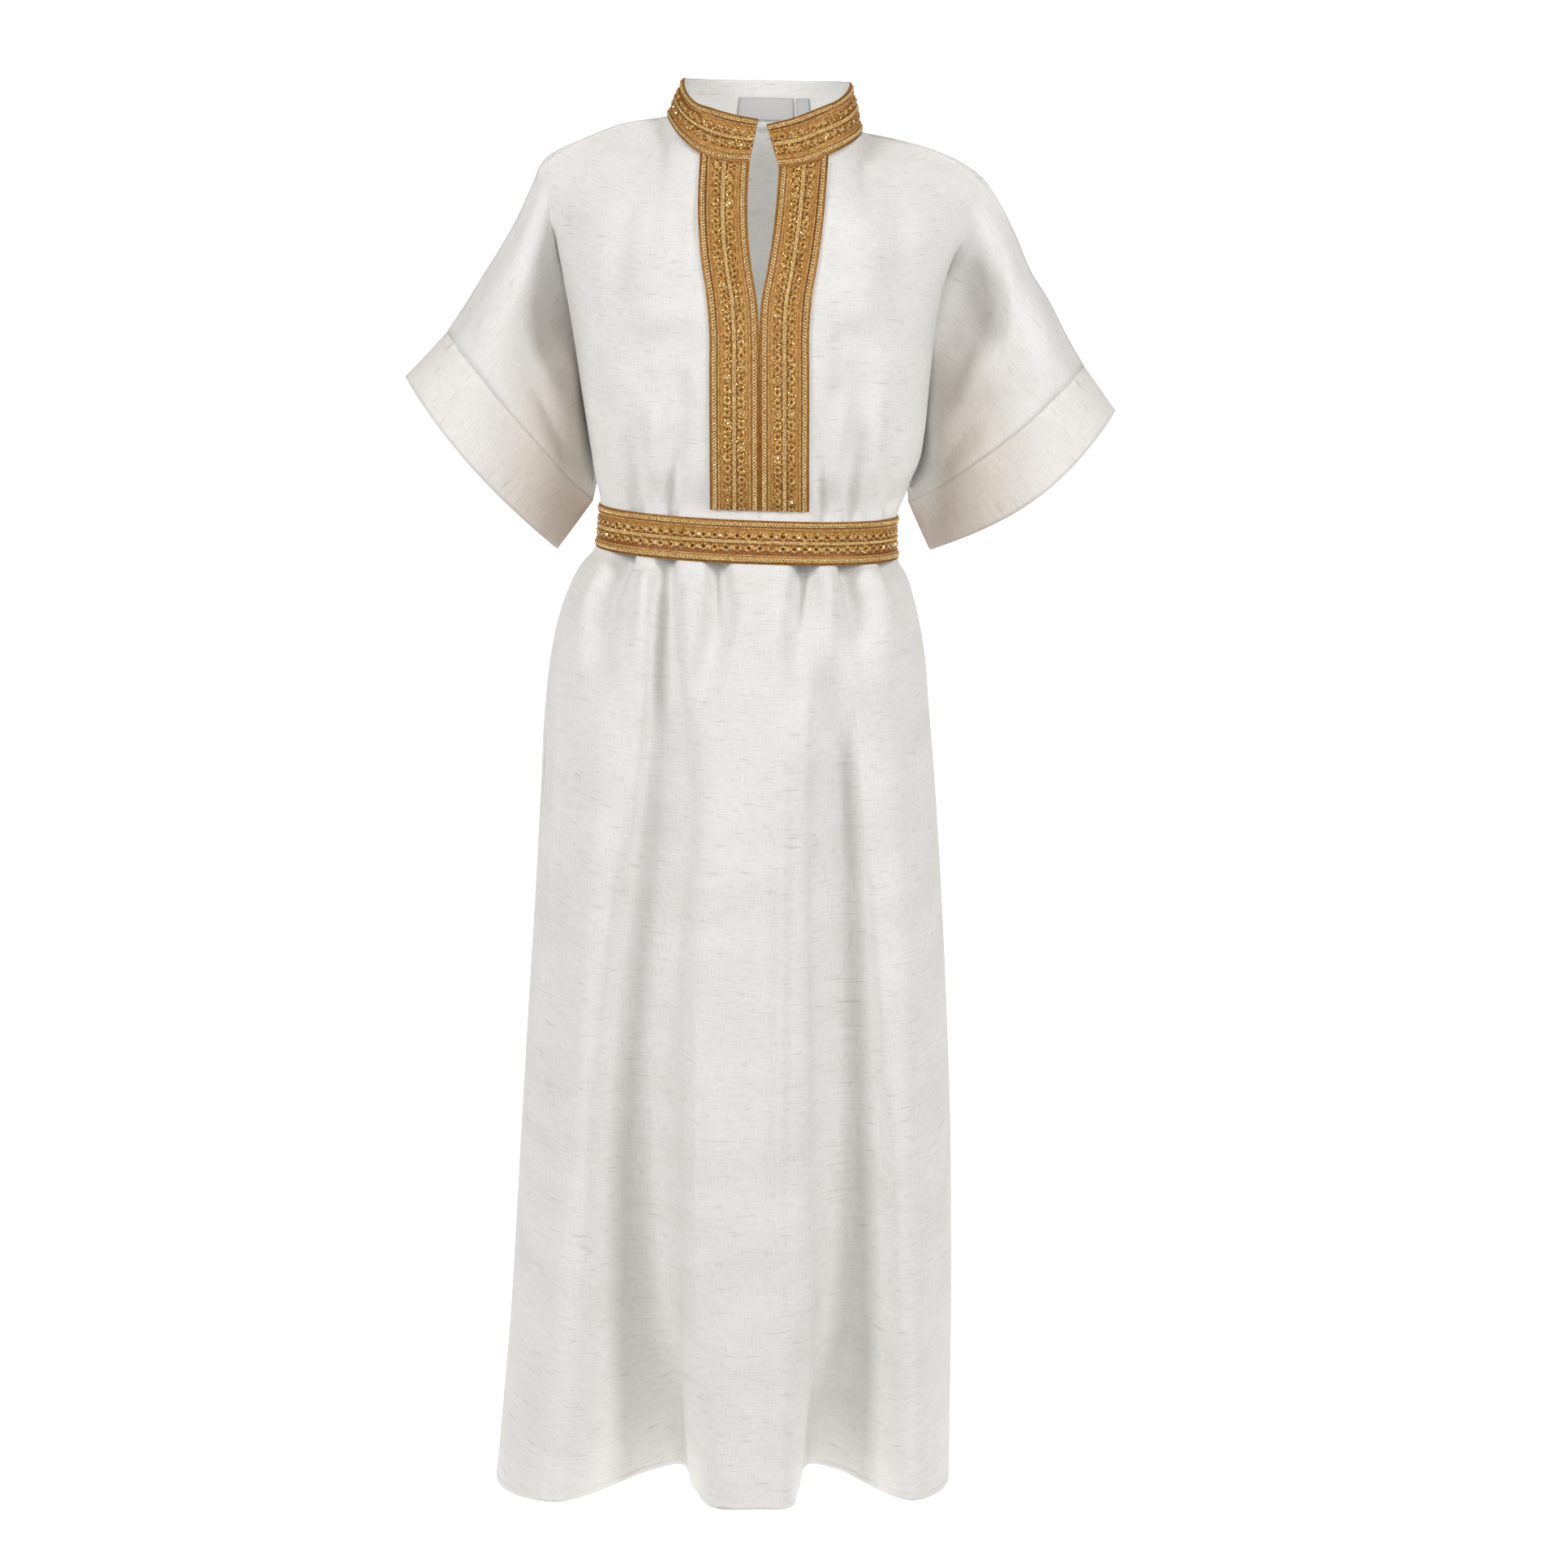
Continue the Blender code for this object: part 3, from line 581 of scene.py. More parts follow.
CREASES = {
    ("front", "body"): [
        # Gathers below the belt, and the ridges between them.
        ([(-127, -384), (-132, -412), (-147, -448), (-160, -570)], 13, -18.0),
        ([(-89, -384), (-90, -412), (-92, -470), (-92, -540), (-84, -660)], 12, -17.0),
        ([(-44, -384), (-40, -414), (-37, -465), (-50, -515), (-72, -620)], 13, -17.0),
        ([(47, -384), (44, -412), (38, -480), (36, -600)], 13, -22.0),
        ([(81, -384), (85, -412), (93, -455), (102, -560)], 12, -20.0),
        ([(118, -384), (123, -412), (136, -450), (148, -520)], 11, -11.0),
        ([(-150, -424), (-172, -470), (-182, -560)], 14, 4.0),
        ([(-108, -418), (-110, -460), (-118, -550)], 11, 9.0),
        ([(-65, -422), (-67, -468), (-76, -560)], 14, 6.0),
        ([(-10, -424), (-12, -480), (-18, -580)], 18, 5.0),
        ([(64, -417), (66, -462), (72, -550)], 11, 9.0),
        ([(108, -422), (121, -452), (131, -540)], 13, 6.0),
        # Long folds down the skirt.
        ([(-98, -440), (-96, -650), (-112, -850), (-116, -1050), (-108, -1300)], 58, -19.0),
        ([(-88, -440), (-84, -570), (-87, -680), (-100, -800), (-110, -960)], 26, -7.0),
        ([(84, -440), (82, -650), (86, -850), (88, -1050), (88, -1300)], 56, -19.0),
        ([(70, -450), (74, -600), (72, -720), (74, -880), (78, -1000)], 26, -7.0),
        ([(19, -540), (21, -700), (18, -900), (16, -1200)], 10, 5.0),
        ([(-58, -800), (-60, -960), (-64, -1200)], 11, 5.0),
        ([(-196, -455), (-195, -600), (-200, -700), (-210, -820), (-226, -960)], 8, 5.0),
        ([(-214, -520), (-213, -700), (-222, -850)], 8, -4.0),
        ([(-150, -560), (-158, -760), (-170, -1000)], 26, 3.0),
        ([(132, -560), (140, -760), (146, -1000), (148, -1200)], 24, 4.0),
        # The bodice, where the belt draws it in.
        ([(-120, -378), (-118, -340), (-119, -300), (-126, -220)], 8, -9.0),
        ([(-103, -350), (-102, -315), (-100, -250)], 10, 5.0),
        ([(-86, -378), (-83, -340), (-78, -300), (-68, -230)], 8, -9.0),
        ([(-137, -352), (-140, -310), (-140, -262)], 9, 3.0),
        ([(58, -378), (58, -340), (60, -300), (62, -240)], 7, -6.0),
        ([(85, -378), (88, -340), (94, -300), (106, -220)], 8, -9.0),
        ([(70, -352), (74, -310), (82, -250)], 9, 4.0),
        ([(108, -350), (113, -310), (118, -250)], 10, 4.5),
        ([(124, -378), (126, -340), (130, -300), (128, -230)], 7, -5.0),
        # The drape of the bust and of the shoulders.
        ([(-46, -204), (-80, -206), (-112, -214), (-148, -256)], 26, -6.0),
        ([(60, -206), (92, -208), (120, -240)], 24, -5.0),
        ([(-96, -120), (-104, -166), (-102, -206)], 34, 6.0),
        ([(92, -120), (98, -166), (98, -206)], 32, 6.0),
        ([(-60, -246), (-84, -248), (-124, -264)], 34, -6.0),
        ([(60, -246), (80, -248), (120, -262)], 32, -5.0),
        ([(-78, -50), (-84, -110), (-90, -170)], 20, 3.0),
        ([(-62, -60), (-66, -120), (-70, -170)], 12, -2.4),
        ([(88, -62), (98, -130), (104, -180)], 24, 3.0),
        ([(-120, -50), (-130, -110), (-138, -180)], 18, -3.0),
        ([(128, -58), (138, -120), (140, -180)], 20, -3.0),
    ],
    ("front", "sleeve"): [
        # Soft folds along the sleeves.
        ([(-196, -40), (-198, -110), (-200, -200), (-198, -300)], 40, 6.0),
        ([(-212, -140), (-210, -240), (-204, -330), (-202, -400)], 56, -24.0),
        ([(-254, -120), (-254, -200), (-250, -290)], 26, 3.0),
        ([(192, -50), (190, -130), (184, -215)], 18, 7.0),
        ([(206, -110), (220, -180), (230, -260), (222, -360)], 52, -18.0),
        ([(178, -180), (170, -260), (162, -340)], 20, 8.0),
        ([(-186, -180), (-182, -260), (-176, -340)], 20, 8.0),
        ([(204, -220), (192, -300), (178, -390)], 50, -16.0),
        ([(272, -130), (276, -200), (270, -280)], 26, 3.0),
    ],
    ("back", "body"): [
        # Gathers below the belt, and the ridges between them.
        ([(-124, -410), (-134, -450), (-144, -560)], 13, -13.0),
        ([(-104, -420), (-107, -460), (-114, -550)], 12, 8.0),
        ([(-84, -410), (-80, -470), (-86, -620)], 13, -15.0),
        ([(-56, -420), (-54, -460), (-56, -560)], 13, 7.0),
        ([(-30, -410), (-26, -480), (-32, -640)], 14, -15.0),
        ([(24, -410), (26, -470), (20, -590)], 13, -12.0),
        ([(46, -420), (50, -460), (53, -550)], 12, 8.0),
        ([(68, -410), (76, -480), (84, -630)], 14, -15.0),
        ([(98, -420), (110, -455), (118, -530)], 12, 6.0),
        # Long folds down the skirt.
        ([(-60, -600), (-64, -800), (-70, -1050), (-66, -1240)], 26, -6.0),
        ([(62, -600), (60, -820), (58, -1050), (64, -1240)], 28, 5.0),
        ([(-176, -560), (-184, -780), (-196, -1050)], 24, -4.0),
        ([(150, -560), (152, -800), (148, -1050)], 22, -4.0),
        # The bodice, where the belt draws it in.
        ([(-110, -354), (-112, -310), (-116, -260)], 9, -4.0),
        ([(-92, -356), (-90, -310), (-84, -250)], 8, 3.6),
        ([(-60, -354), (-56, -300), (-50, -240)], 11, -4.2),
        ([(-16, -356), (-14, -310), (-16, -270)], 10, 3.0),
        ([(28, -354), (30, -300), (36, -230)], 11, -4.0),
        ([(60, -356), (64, -310), (72, -262)], 8, 3.4),
        ([(84, -354), (90, -300), (98, -250)], 10, -4.2),
        # The drape below the shoulders.
        ([(-110, -60), (-116, -130), (-112, -200)], 24, -3.0),
        ([(112, -64), (118, -140), (112, -210)], 24, -3.0),
        ([(-20, -70), (-24, -140), (-20, -220)], 30, -2.4),
        ([(36, -40), (40, -110), (34, -180)], 22, 2.0),
    ],
    ("back", "sleeve"): [
        # Soft folds along the sleeves.
        ([(-226, -80), (-230, -160), (-222, -250)], 15, 3.6),
        ([(-258, -150), (-256, -230), (-240, -300)], 18, -4.0),
        ([(214, -86), (220, -170), (210, -250)], 16, 3.4),
        ([(256, -150), (262, -220), (240, -290)], 20, -4.0),
    ],
}
# How a crease fades at its start and its end, and how much it widens on the way.
GATHER_SHAPE = (0.02, 0.98), 1.3  # a trough pinched shut by the belt
BELT_RIDGE_SHAPE = (0.12, 0.85), 0.7  # a ridge between two of them, below the belt
LONG_SHAPE = (0.3, 0.4), 0.2
CUFF_FLAT = 30 * MM  # creases run out over this length before the cuff

HEM_TOP = 6.4 * MM
HEM_FULL = 5.9 * MM
HEM_RAISE = 0.3 * MM
HEM_SEAM = 6.6 * MM  # a fine groove, where the hem is stitched
HEM_SEAM_DEEP = 0.12 * MM


def crease_shape(part, path, height):
    """Its fades and spread: those that start at the belt are pinched there."""
    start = path[0][1]
    if part == "body" and height < 0 and -420 < start < -345:
        return GATHER_SHAPE
    if part == "body" and height > 0 and -430 < start < -410:
        return BELT_RIDGE_SHAPE
    return LONG_SHAPE


def make_panel(name):
    """A panel with its creases, hem and sewn edges, as a thin wall of cloth."""
    points, faces, flat, (in_sleeve, at_edge, from_hem, from_cuff) = panel_cloth(name)
    piece = mesh_of(name + "_cloth", points, faces, flat)
    normals = np.array([n.vector for n in piece.data.vertex_normals])
    moved = np.zeros(len(points))
    for part in ("body", "sleeve"):
        wanted = in_sleeve == (part == "sleeve")
        for path, width, height in CREASES[name, part]:
            shape = crease_shape(part, path, height)
            moved += np.where(wanted, crease(points, path, width, height, *shape), 0)
    moved *= smooth(from_cuff, 0, CUFF_FLAT)
    moved += HEM_RAISE * smooth(from_hem, HEM_TOP, HEM_FULL)
    moved -= HEM_SEAM_DEEP * (np.abs(from_hem - HEM_SEAM) < 0.5 * MM)
    points = points + normals * moved[:, None]
    piece.data.vertices.foreach_set("co", points.astype(np.float32).ravel())
    note_cut(piece)
    turn_edges_in(piece, at_edge)
    apply_modifier(piece, "SOLIDIFY", thickness=CLOTH_THICK, offset=-1)
    piece.data.shade_smooth()
    print(f"{name}: {sheet_cuts[piece.name][2]:.3f} m2, {triangles(piece)} triangles")
    return piece


front_cloth = make_panel("front")
back_cloth = make_panel("back")

# %% [markdown]
# ## Cuffs and collar
#
# The cuff is a straight band of the same linen, doubled and sewn to the sleeve's
# end, so it is thicker and its lower edge is a fold. The collar is a low stand of
# two layers; its outside is all ribbon, and its inside shows at the back.

# %% Make a cloth from a strip or a ring
def fine_grid(knots, along_step, across_step, closed=False):
    """A fine grid from coarse rows (axis 0 across, axis 1 along)."""
    columns = swap(knots)
    if closed:
        columns = np.concatenate([columns[-2:-1], columns, columns[1:2]])
    at = split(swap(knots), along_step) + (1 if closed else 0)
    rows = swap(through(columns, at))
    return through(rows, split(rows, across_step))


def band_mesh(name, grid, thick, closed=False, turn=False, outward=None, sewn=False):
    """A thin walled piece from a fine grid; its UV is along and across, in metres."""
    rows, columns = grid.shape[:2]
    along = run_lengths(swap(grid)).T
    across = run_lengths(grid)
    along = np.repeat(along.mean(axis=0)[None], rows, axis=0)
    flat = np.stack([across, along] if turn else [along, across], axis=-1).reshape(-1, 2)
    faces = grid_faces(rows, columns)
    points = grid.reshape(-1, 3)
    a, b, c = (points[faces[len(faces) // 3, i]] for i in (0, 1, 3))
    if np.dot(np.cross(b - a, c - a), outward(a)) < 0:
        faces = faces[:, ::-1]
    piece = mesh_of(name, points, faces, flat)
    if closed:
        select_only(piece)
        bpy.ops.object.mode_set(mode="EDIT")
        bpy.ops.mesh.select_all(action="SELECT")
        bpy.ops.mesh.remove_doubles(threshold=MERGE)
        bpy.ops.object.mode_set(mode="OBJECT")
    note_cut(piece)
    if sewn:
        seam = np.zeros(len(piece.data.vertices), bool)
        on_cloth = piece.data.uv_layers["cloth"].data
        for loop in piece.data.loops:
            seam[loop.vertex_index] |= on_cloth[loop.index].uv[0 if turn else 1] < 1e-6
        turn_edges_in(piece, seam)
    apply_modifier(piece, "SOLIDIFY", thickness=thick, offset=-1)
    piece.data.shade_smooth()
    print(f"{name}: {triangles(piece)} triangles")
    return piece


def from_neck(point):
    """Away from the upright line through the middle of the neck."""
    return point * (1, 1, 0)


def to_neck(point):
    return -from_neck(point)


def forward(point):
    return np.array((0, -1, 0))


CUFF_STEPS = 5 * MM, 4.5 * MM
CUFF_THICK = 1.6 * MM
COLLAR_THICK = 1.1 * MM
RIBBON_STEP = 3 * MM

cuffs = {}
for side_name in ("right", "left"):
    grid = fine_grid(narrow["cuff_" + side_name], *CUFF_STEPS, closed=True)
    grid_middle = grid.reshape(-1, 3).mean(axis=0)
    cuffs[side_name] = band_mesh(f"cuff_{side_name}_cloth", grid, CUFF_THICK, closed=True, turn=True,
                                 sewn=True, outward=lambda p: p - grid_middle)
collar_grid = fine_grid(narrow["collar"], RIBBON_STEP, RIBBON_STEP)
collar_cloth = band_mesh("collar_cloth", collar_grid, COLLAR_THICK, sewn=True, outward=from_neck)

# %% [markdown]
# ## Ribbons
#
# All the gold bands are one woven ribbon, 47 mm wide. Its ground is a closely
# ribbed cloth, and every row of plait, cord, wire and bead is worked on top of it.

# %% Make the ribbons' grounds
BELT_STEP = 4 * MM
RIBBON_THICK = 1.0 * MM

outsides = {"collar_trim": from_neck, "placket_trim_right": forward, "placket_trim_left": forward,
            "belt": from_neck}
ribbons, grounds = {}, {}
for name, outside in outsides.items():
    closed = name == "belt"
    step = BELT_STEP if closed else RIBBON_STEP
    ribbons[name] = fine_grid(narrow[name], step, step, closed)
    grounds[name] = band_mesh(name + "_ribbon", ribbons[name], RIBBON_THICK, closed, outward=outside)

# %% [markdown]
# ## Laying things on a ribbon
#
# The rows of thread are made on a straight, flat ribbon, with x along it, y across
# it and z as the height above it. Then every point is moved to the same place on the
# real ribbon, as if the finished trim were bent round the neck or the waist.

# %% Bend a piece onto a ribbon
RIBBON_WIDTH = 47 * MM


class Ribbon:
    """A band's surface: its length, and where a place along and across it lies."""

    def __init__(self, grid, outside, closed=False, width=RIBBON_WIDTH):
        self.grid = grid
        self.width = width
        self.along = run_lengths(swap(grid)).T.mean(axis=0)
        self.length = self.along[-1]
        normals = normals_of(grid)
        if closed:
            ends = normals[:, :1] + normals[:, -1:]
            normals[:, :1] = normals[:, -1:] = ends / np.linalg.norm(ends, axis=2)[..., None]
        middle = tuple(n // 2 for n in grid.shape[:2])
        if np.dot(normals[middle], outside(grid[middle])) < 0:
            normals = -normals
        self.normals = normals

    def at(self, places):
        """Points for places (along, across, height) in metres."""
        rows, columns = self.grid.shape[:2]
        x = np.clip(np.interp(places[:, 0], self.along, np.arange(columns)), 0, columns - 1.0001)
        y = np.clip(places[:, 1] / self.width * (rows - 1), 0, rows - 1.0001)
        i, j = y.astype(int), x.astype(int)
        v, u = (y - i)[:, None], (x - j)[:, None]

        def mix(values):
            top = values[i, j] * (1 - u) + values[i, j + 1] * u
            low = values[i + 1, j] * (1 - u) + values[i + 1, j + 1] * u
            return top * (1 - v) + low * v

        return mix(self.grid) + mix(self.normals) * places[:, 2:]


def bend(piece, ribbon):
    """Moves a piece's points from the flat ribbon to the real one."""
    count = len(piece.data.vertices)
    flat = np.empty(count * 3, np.float32)
    piece.data.vertices.foreach_get("co", flat)
    bent = ribbon.at(flat.reshape(-1, 3).astype(float))
    piece.data.vertices.foreach_set("co", bent.astype(np.float32).ravel())
    select_only(piece)
    bpy.ops.object.mode_set(mode="EDIT")
    bpy.ops.mesh.select_all(action="SELECT")
    bpy.ops.mesh.normals_make_consistent(inside=False)
    bpy.ops.object.mode_set(mode="OBJECT")
    piece.data.shade_smooth()


# %% [markdown]
# ## Plaits, cords and twisted wire
#
# A thread that wanders in a regular way is quickest as a curve with a round bevel,
# turned into a mesh afterwards. A plait of two strands is a pair of opposite waves
# that pass over and under each other. The flat cord down the middle is a plait of
# three. The beaded cord is one thread that swells every 2 mm. Beside the middle cord
# run two rows of twisted wire, each of two opposite zigzags that form a chain of
# pointed cells 10.7 mm long.

# %% Rows of thread on the flat ribbon
# Places across the ribbon and all sizes of thread are in millimetres.
PLAIT_PLACES = (4.6, 42.4)
BEADED_PLACES = (8.9, 38.1)
WIRE_PLACES = (17.0, 30.0)
MIDDLE_PLACE = 23.5
EDGE_PLACES = (0.55, 46.45)
CELL = 10.7
SWAY_STEP = 40
FULL_TURN = 2 * math.pi


def fitted(length, period):
    """The period nearest to this one that divides the length evenly, so a ring closes."""
    return length / max(1, round(length / period))


def edge_thread(length, place, rng):
    """The whipped edge: one thread, swollen at each stitch."""
    x = np.arange(0, length, 0.7)
    swell = 0.5 + 0.16 * np.cos(FULL_TURN * x / 1.4)
    return [(x, np.full_like(x, place), np.full_like(x, 0.25), swell)]


def plait(length, place, rng):
    """Two strands that sway a little together, as one sewn down by hand does."""
    period = fitted(length, 6.0)
    x = np.linspace(0, length, int(length / period) * 8 + 1)
    knots = np.arange(0, length + SWAY_STEP, SWAY_STEP)
    sway = np.interp(x, knots, rng.normal(0, 0.12, int(length / SWAY_STEP) + 2)[:len(knots)])
    rows = []
    for phase in (0, math.pi):
        turn = FULL_TURN * x / period + phase
        rows.append((x, place + sway + 1.55 * np.sin(turn), 0.85 + 0.5 * np.cos(turn), np.full_like(x, 0.86)))
    return rows


def beaded_cord(length, place, rng):
    """One thread that swells like a string of beads."""
    x = np.arange(0, length, 0.5)
    swell = 0.68 + 0.3 * np.cos(FULL_TURN * x / 2.0)
    return [(x, np.full_like(x, place), np.full_like(x, 0.45), swell)]


def middle_cord(length, place, rng):
    """A flat plait of three strands."""
    period = fitted(length, 8.6)
    x = np.linspace(0, length, int(length / period) * 12 + 1)
    rows = []
    for strand in range(3):
        turn = FULL_TURN * (x / period + strand / 3)
        rows.append((x, place + 1.3 * np.sin(turn), 1.0 + 0.55 * np.sin(2 * turn), np.full_like(x, 0.8)))
    return rows


def wire_cells(length, place, rng):
    """Two pointed zigzags, two rounder waves between them, and a small loop in each cell."""
    period = fitted(length, 2 * CELL)
    x = np.arange(0, length, 0.6)
    phase = 2 * x / period % 1
    peak = np.abs(2 * phase - 1) ** 1.35
    sign = np.where((2 * x / period) % 2 < 1, 1, -1)
    wave = np.where(phase < 0.5, sign, -sign) * peak
    twist = 0.46 + 0.14 * np.cos(FULL_TURN * x / 1.3)
    rows = [(x, place + way * 4.0 * wave, 0.6 + 0.3 * way * np.cos(FULL_TURN * x / period), twist * 1.2)
            for way in (1, -1)]
    inner = 2.3 * np.sin(FULL_TURN * 2 * x / period + 0.5 * math.pi)
    rows += [(x, place + way * inner, 0.5 - 0.2 * way * np.sin(FULL_TURN * 2 * x / period), twist)
             for way in (1, -1)]
    for start in np.arange(0, length - CELL, period / 2):
        around = np.linspace(0, FULL_TURN, 10)
        lean = rng.normal(0, 0.25)
        loop_x = start + period / 4 + 1.9 * np.cos(around) + lean
        rows.append((loop_x, place + (1.2 + rng.normal(0, 0.1)) * np.sin(around), np.full_like(around, 0.95),
                     np.full_like(around, 0.34)))
    return rows


def thread_mesh(name, rows):
    """One mesh from rows of thread, each of x, y, height and radius, in millimetres."""
    curve = bpy.data.curves.new(name, "CURVE")
    curve.dimensions = "3D"
    curve.bevel_depth = MM
    curve.bevel_resolution = 0
    curve.use_fill_caps = True
    for x, y, z, radius in rows:
        spline = curve.splines.new("POLY")
        spline.points.add(len(x) - 1)
        points = np.stack([x * MM, y * MM, z * MM, np.ones_like(x)], axis=-1)
        spline.points.foreach_set("co", points.astype(np.float32).ravel())
        spline.points.foreach_set("radius", radius.astype(np.float32))
    thread = bpy.data.objects.new(name, curve)
    bpy.context.scene.collection.objects.link(thread)
    select_only(thread)
    bpy.ops.object.convert(target="MESH")
    return bpy.context.object


def lay_threads(name, ribbon, kinds, seed):
    """Makes rows of thread for a ribbon and bends them onto it."""
    rng = np.random.default_rng(seed)
    length = ribbon.length / MM
    rows = [row for make, place in kinds for row in make(length, place, rng)]
    piece = thread_mesh(name, rows)
    bend(piece, ribbon)
    print(f"{name}: {len(rows)} threads, {triangles(piece)} triangles")
    return piece


laid = {name: Ribbon(grid, outsides[name], name == "belt") for name, grid in ribbons.items()}
bright_threads, wire_threads, edge_threads = {}, {}, {}
for seed, (name, ribbon) in enumerate(laid.items()):
    bright = [(plait, p) for p in PLAIT_PLACES] + [(middle_cord, MIDDLE_PLACE)]
    bright_threads[name] = lay_threads(name + "_plaits", ribbon, bright, seed)
    wires = [(wire_cells, p) for p in WIRE_PLACES] + [(beaded_cord, p) for p in BEADED_PLACES]
    wire_threads[name] = lay_threads(name + "_wires", ribbon, wires, seed + 20)
    edges = [(edge_thread, p) for p in EDGE_PLACES]
    edge_threads[name] = lay_threads(name + "_edges", ribbon, edges, seed + 40)

# %% [markdown]
# ## Beads
#
# Small cut beads catch the light in the wire rows, and dark ones sit in the points of
# the cells. Each is one primitive, a ball of 20 facets or a three sided cone, copied
# along the flat ribbon with its own size and turn, and bent onto it with the rest.

# %% Copy beads along a ribbon
DARK_BEAD = 2.8
LIGHT_BEAD = 1.75

# The leaves of a cell: how far along it and off its middle they lie, and their turn.
CELL_LEAVES = ((2.6, 2.5, 0.5), (2.6, -2.5, -0.5), (8.1, 2.5, -0.5), (8.1, -2.5, 0.5),
               (5.3, 4.0, 0.0), (5.3, -4.0, 0.1), (0.0, 1.4, 1.4))


def copies(name, kind, spots):
    """One mesh of copies of a primitive at spots of x, y, height, size and turn."""
    bpy.ops.object.select_all(action="DESELECT")
    if kind == "point":
        bpy.ops.mesh.primitive_cone_add(vertices=3, radius1=MM, radius2=0.25 * MM, depth=0.7 * MM)
    else:
        bpy.ops.mesh.primitive_ico_sphere_add(subdivisions=1, radius=MM)
    if kind == "leaf":
        bpy.ops.transform.resize(value=(1.5, 0.62, 0.55))
        bpy.ops.object.transform_apply(location=False, rotation=False, scale=True)
    first = bpy.context.object
    first.name = name
    single = np.array([v.co for v in first.data.vertices])
    faces = [list(p.vertices) for p in first.data.polygons]
    points, copied = [], []
    for x, y, z, size, turn in spots:
        c, s = math.cos(turn), math.sin(turn)
        turned = single @ np.array([[c, s, 0], [-s, c, 0], [0, 0, 1]]) * size
        copied.extend([i + len(points) * len(single) for i in face] for face in faces)
        points.append(turned + np.array([x, y, z]) * MM)
    mesh = bpy.data.meshes.new(name)
    mesh.from_pydata(np.concatenate(points).tolist(), [], copied)
    first.data = mesh
    return first


def bead_spots(ribbon, rng, share, size, spacing, offset):
    """Places along both wire rows; share is how many of them hold a bead."""
    spots = []
    step = fitted(ribbon.length / MM, spacing)
    for place in WIRE_PLACES:
        for x in np.arange(step * offset, ribbon.length / MM - 2, step):
            if rng.random() < share:
                spots.append((x + rng.normal(0, 0.3), place + rng.normal(0, 0.25), 1.0,
                              size * rng.uniform(0.8, 1.15), rng.uniform(0, 6.3)))
    return spots


def leaf_spots(ribbon, rng):
    """Seven leaves, most of them slanting, in each cell of the wire rows."""
    spots = []
    step = fitted(ribbon.length / MM, CELL)
    for place in WIRE_PLACES:
        for x in np.arange(0, ribbon.length / MM - CELL / 2, step):
            for dx, dy, turn in CELL_LEAVES:
                spots.append((x + dx + rng.normal(0, 0.35), place + dy + rng.normal(0, 0.2), 0.9,
                              rng.uniform(0.95, 1.35), turn + rng.normal(0, 0.25)))
    return spots


dark_beads, light_beads, leaves = {}, {}, {}
for seed, (name, ribbon) in enumerate(laid.items()):
    rng = np.random.default_rng(seed + 60)
    placket = name.startswith("placket")
    spots = bead_spots(ribbon, rng, 0.9, DARK_BEAD, CELL, 0.5)
    dark_beads[name] = copies(name + "_dark_beads", "point", spots)
    spots = bead_spots(ribbon, rng, 0.16 if placket else 0.8, LIGHT_BEAD, CELL, 1.0)
    light_beads[name] = copies(name + "_light_beads", "cut bead", spots)
    leaves[name] = copies(name + "_leaves", "leaf", leaf_spots(ribbon, rng))
    for piece in (dark_beads[name], light_beads[name], leaves[name]):
        bend(piece, ribbon)
        piece.data.shade_flat()
        print(piece.name, triangles(piece), "triangles")

# %% [markdown]
# ## The belt's closure
#
# The belt's two ends meet at the centre back. Each is turned under and whipped, and
# one laps over the other, where flat hooks hold it. So what shows is a turned end:
# a rounded fold across the ribbon, with a row of slanting stitches beside it.

# %% Close the belt
END_HEIGHT = 1.5
across_belt = np.linspace(0.6, 46.4, 47)
fold = [(np.full_like(across_belt, 1.2), across_belt, np.full_like(across_belt, END_HEIGHT),
         1.3 + 0.12 * np.sin(across_belt * 1.9))]
belt_fold = thread_mesh("belt_end_fold", fold)
part = np.linspace(0, 1, 6)
arch = END_HEIGHT + 0.9 * np.sin(math.pi * part)
whips = [(2.2 + 3.0 * part, y + 1.5 * part, arch, np.full(6, 0.22)) for y in np.arange(2.2, 45.5, 2.6)]
belt_whips = thread_mesh("belt_end_stitches", whips)
for piece in (belt_fold, belt_whips):
    bend(piece, laid["belt"])
    print(piece.name, triangles(piece), "triangles")

# %% [markdown]
# ## Label and size tab
#
# Inside the back of the neck sit a woven label and a narrow tab for the size, both
# left blank. Each is a short piece of satin tape with its ends turned under, sewn
# down with fine thread.

# %% Make the label and the tab
TAPE_STEP = 1.5 * MM
TAPE_THICK = 0.45 * MM
TAPE_WIDTHS = {"neck_label": 22.0, "neck_tab": 21.0}
STITCH = 1.3
STITCH_STEP = 2.1
MARGIN = 0.9


def stitch(start, fixed, lengthwise):
    """One short stitch, along the tape or across it."""
    part = np.linspace(0, 1, 4)
    run, still = start + STITCH * part, np.full(4, fixed)
    x, y = (run, still) if lengthwise else (still, run)
    return x, y, 0.12 + 0.12 * np.sin(math.pi * part), np.full(4, 0.13)


labels, label_stitches = {}, {}
for name, width in TAPE_WIDTHS.items():
    grid = fine_grid(narrow[name], TAPE_STEP, TAPE_STEP)
    labels[name] = band_mesh(name + "_tape", grid, TAPE_THICK, outward=to_neck)
    tape = Ribbon(grid, to_neck, width=width * MM)
    length = tape.length / MM
    rows = [stitch(start, end, False) for start in np.arange(MARGIN, width - 2.2, STITCH_STEP)
            for end in (MARGIN, length - MARGIN)]
    rows += [stitch(start, edge, True) for start in np.arange(1.4, length - 2.4, STITCH_STEP)
             for edge in (MARGIN, width - MARGIN)]
    label_stitches[name] = thread_mesh(name + "_stitches", rows)
    bend(label_stitches[name], tape)

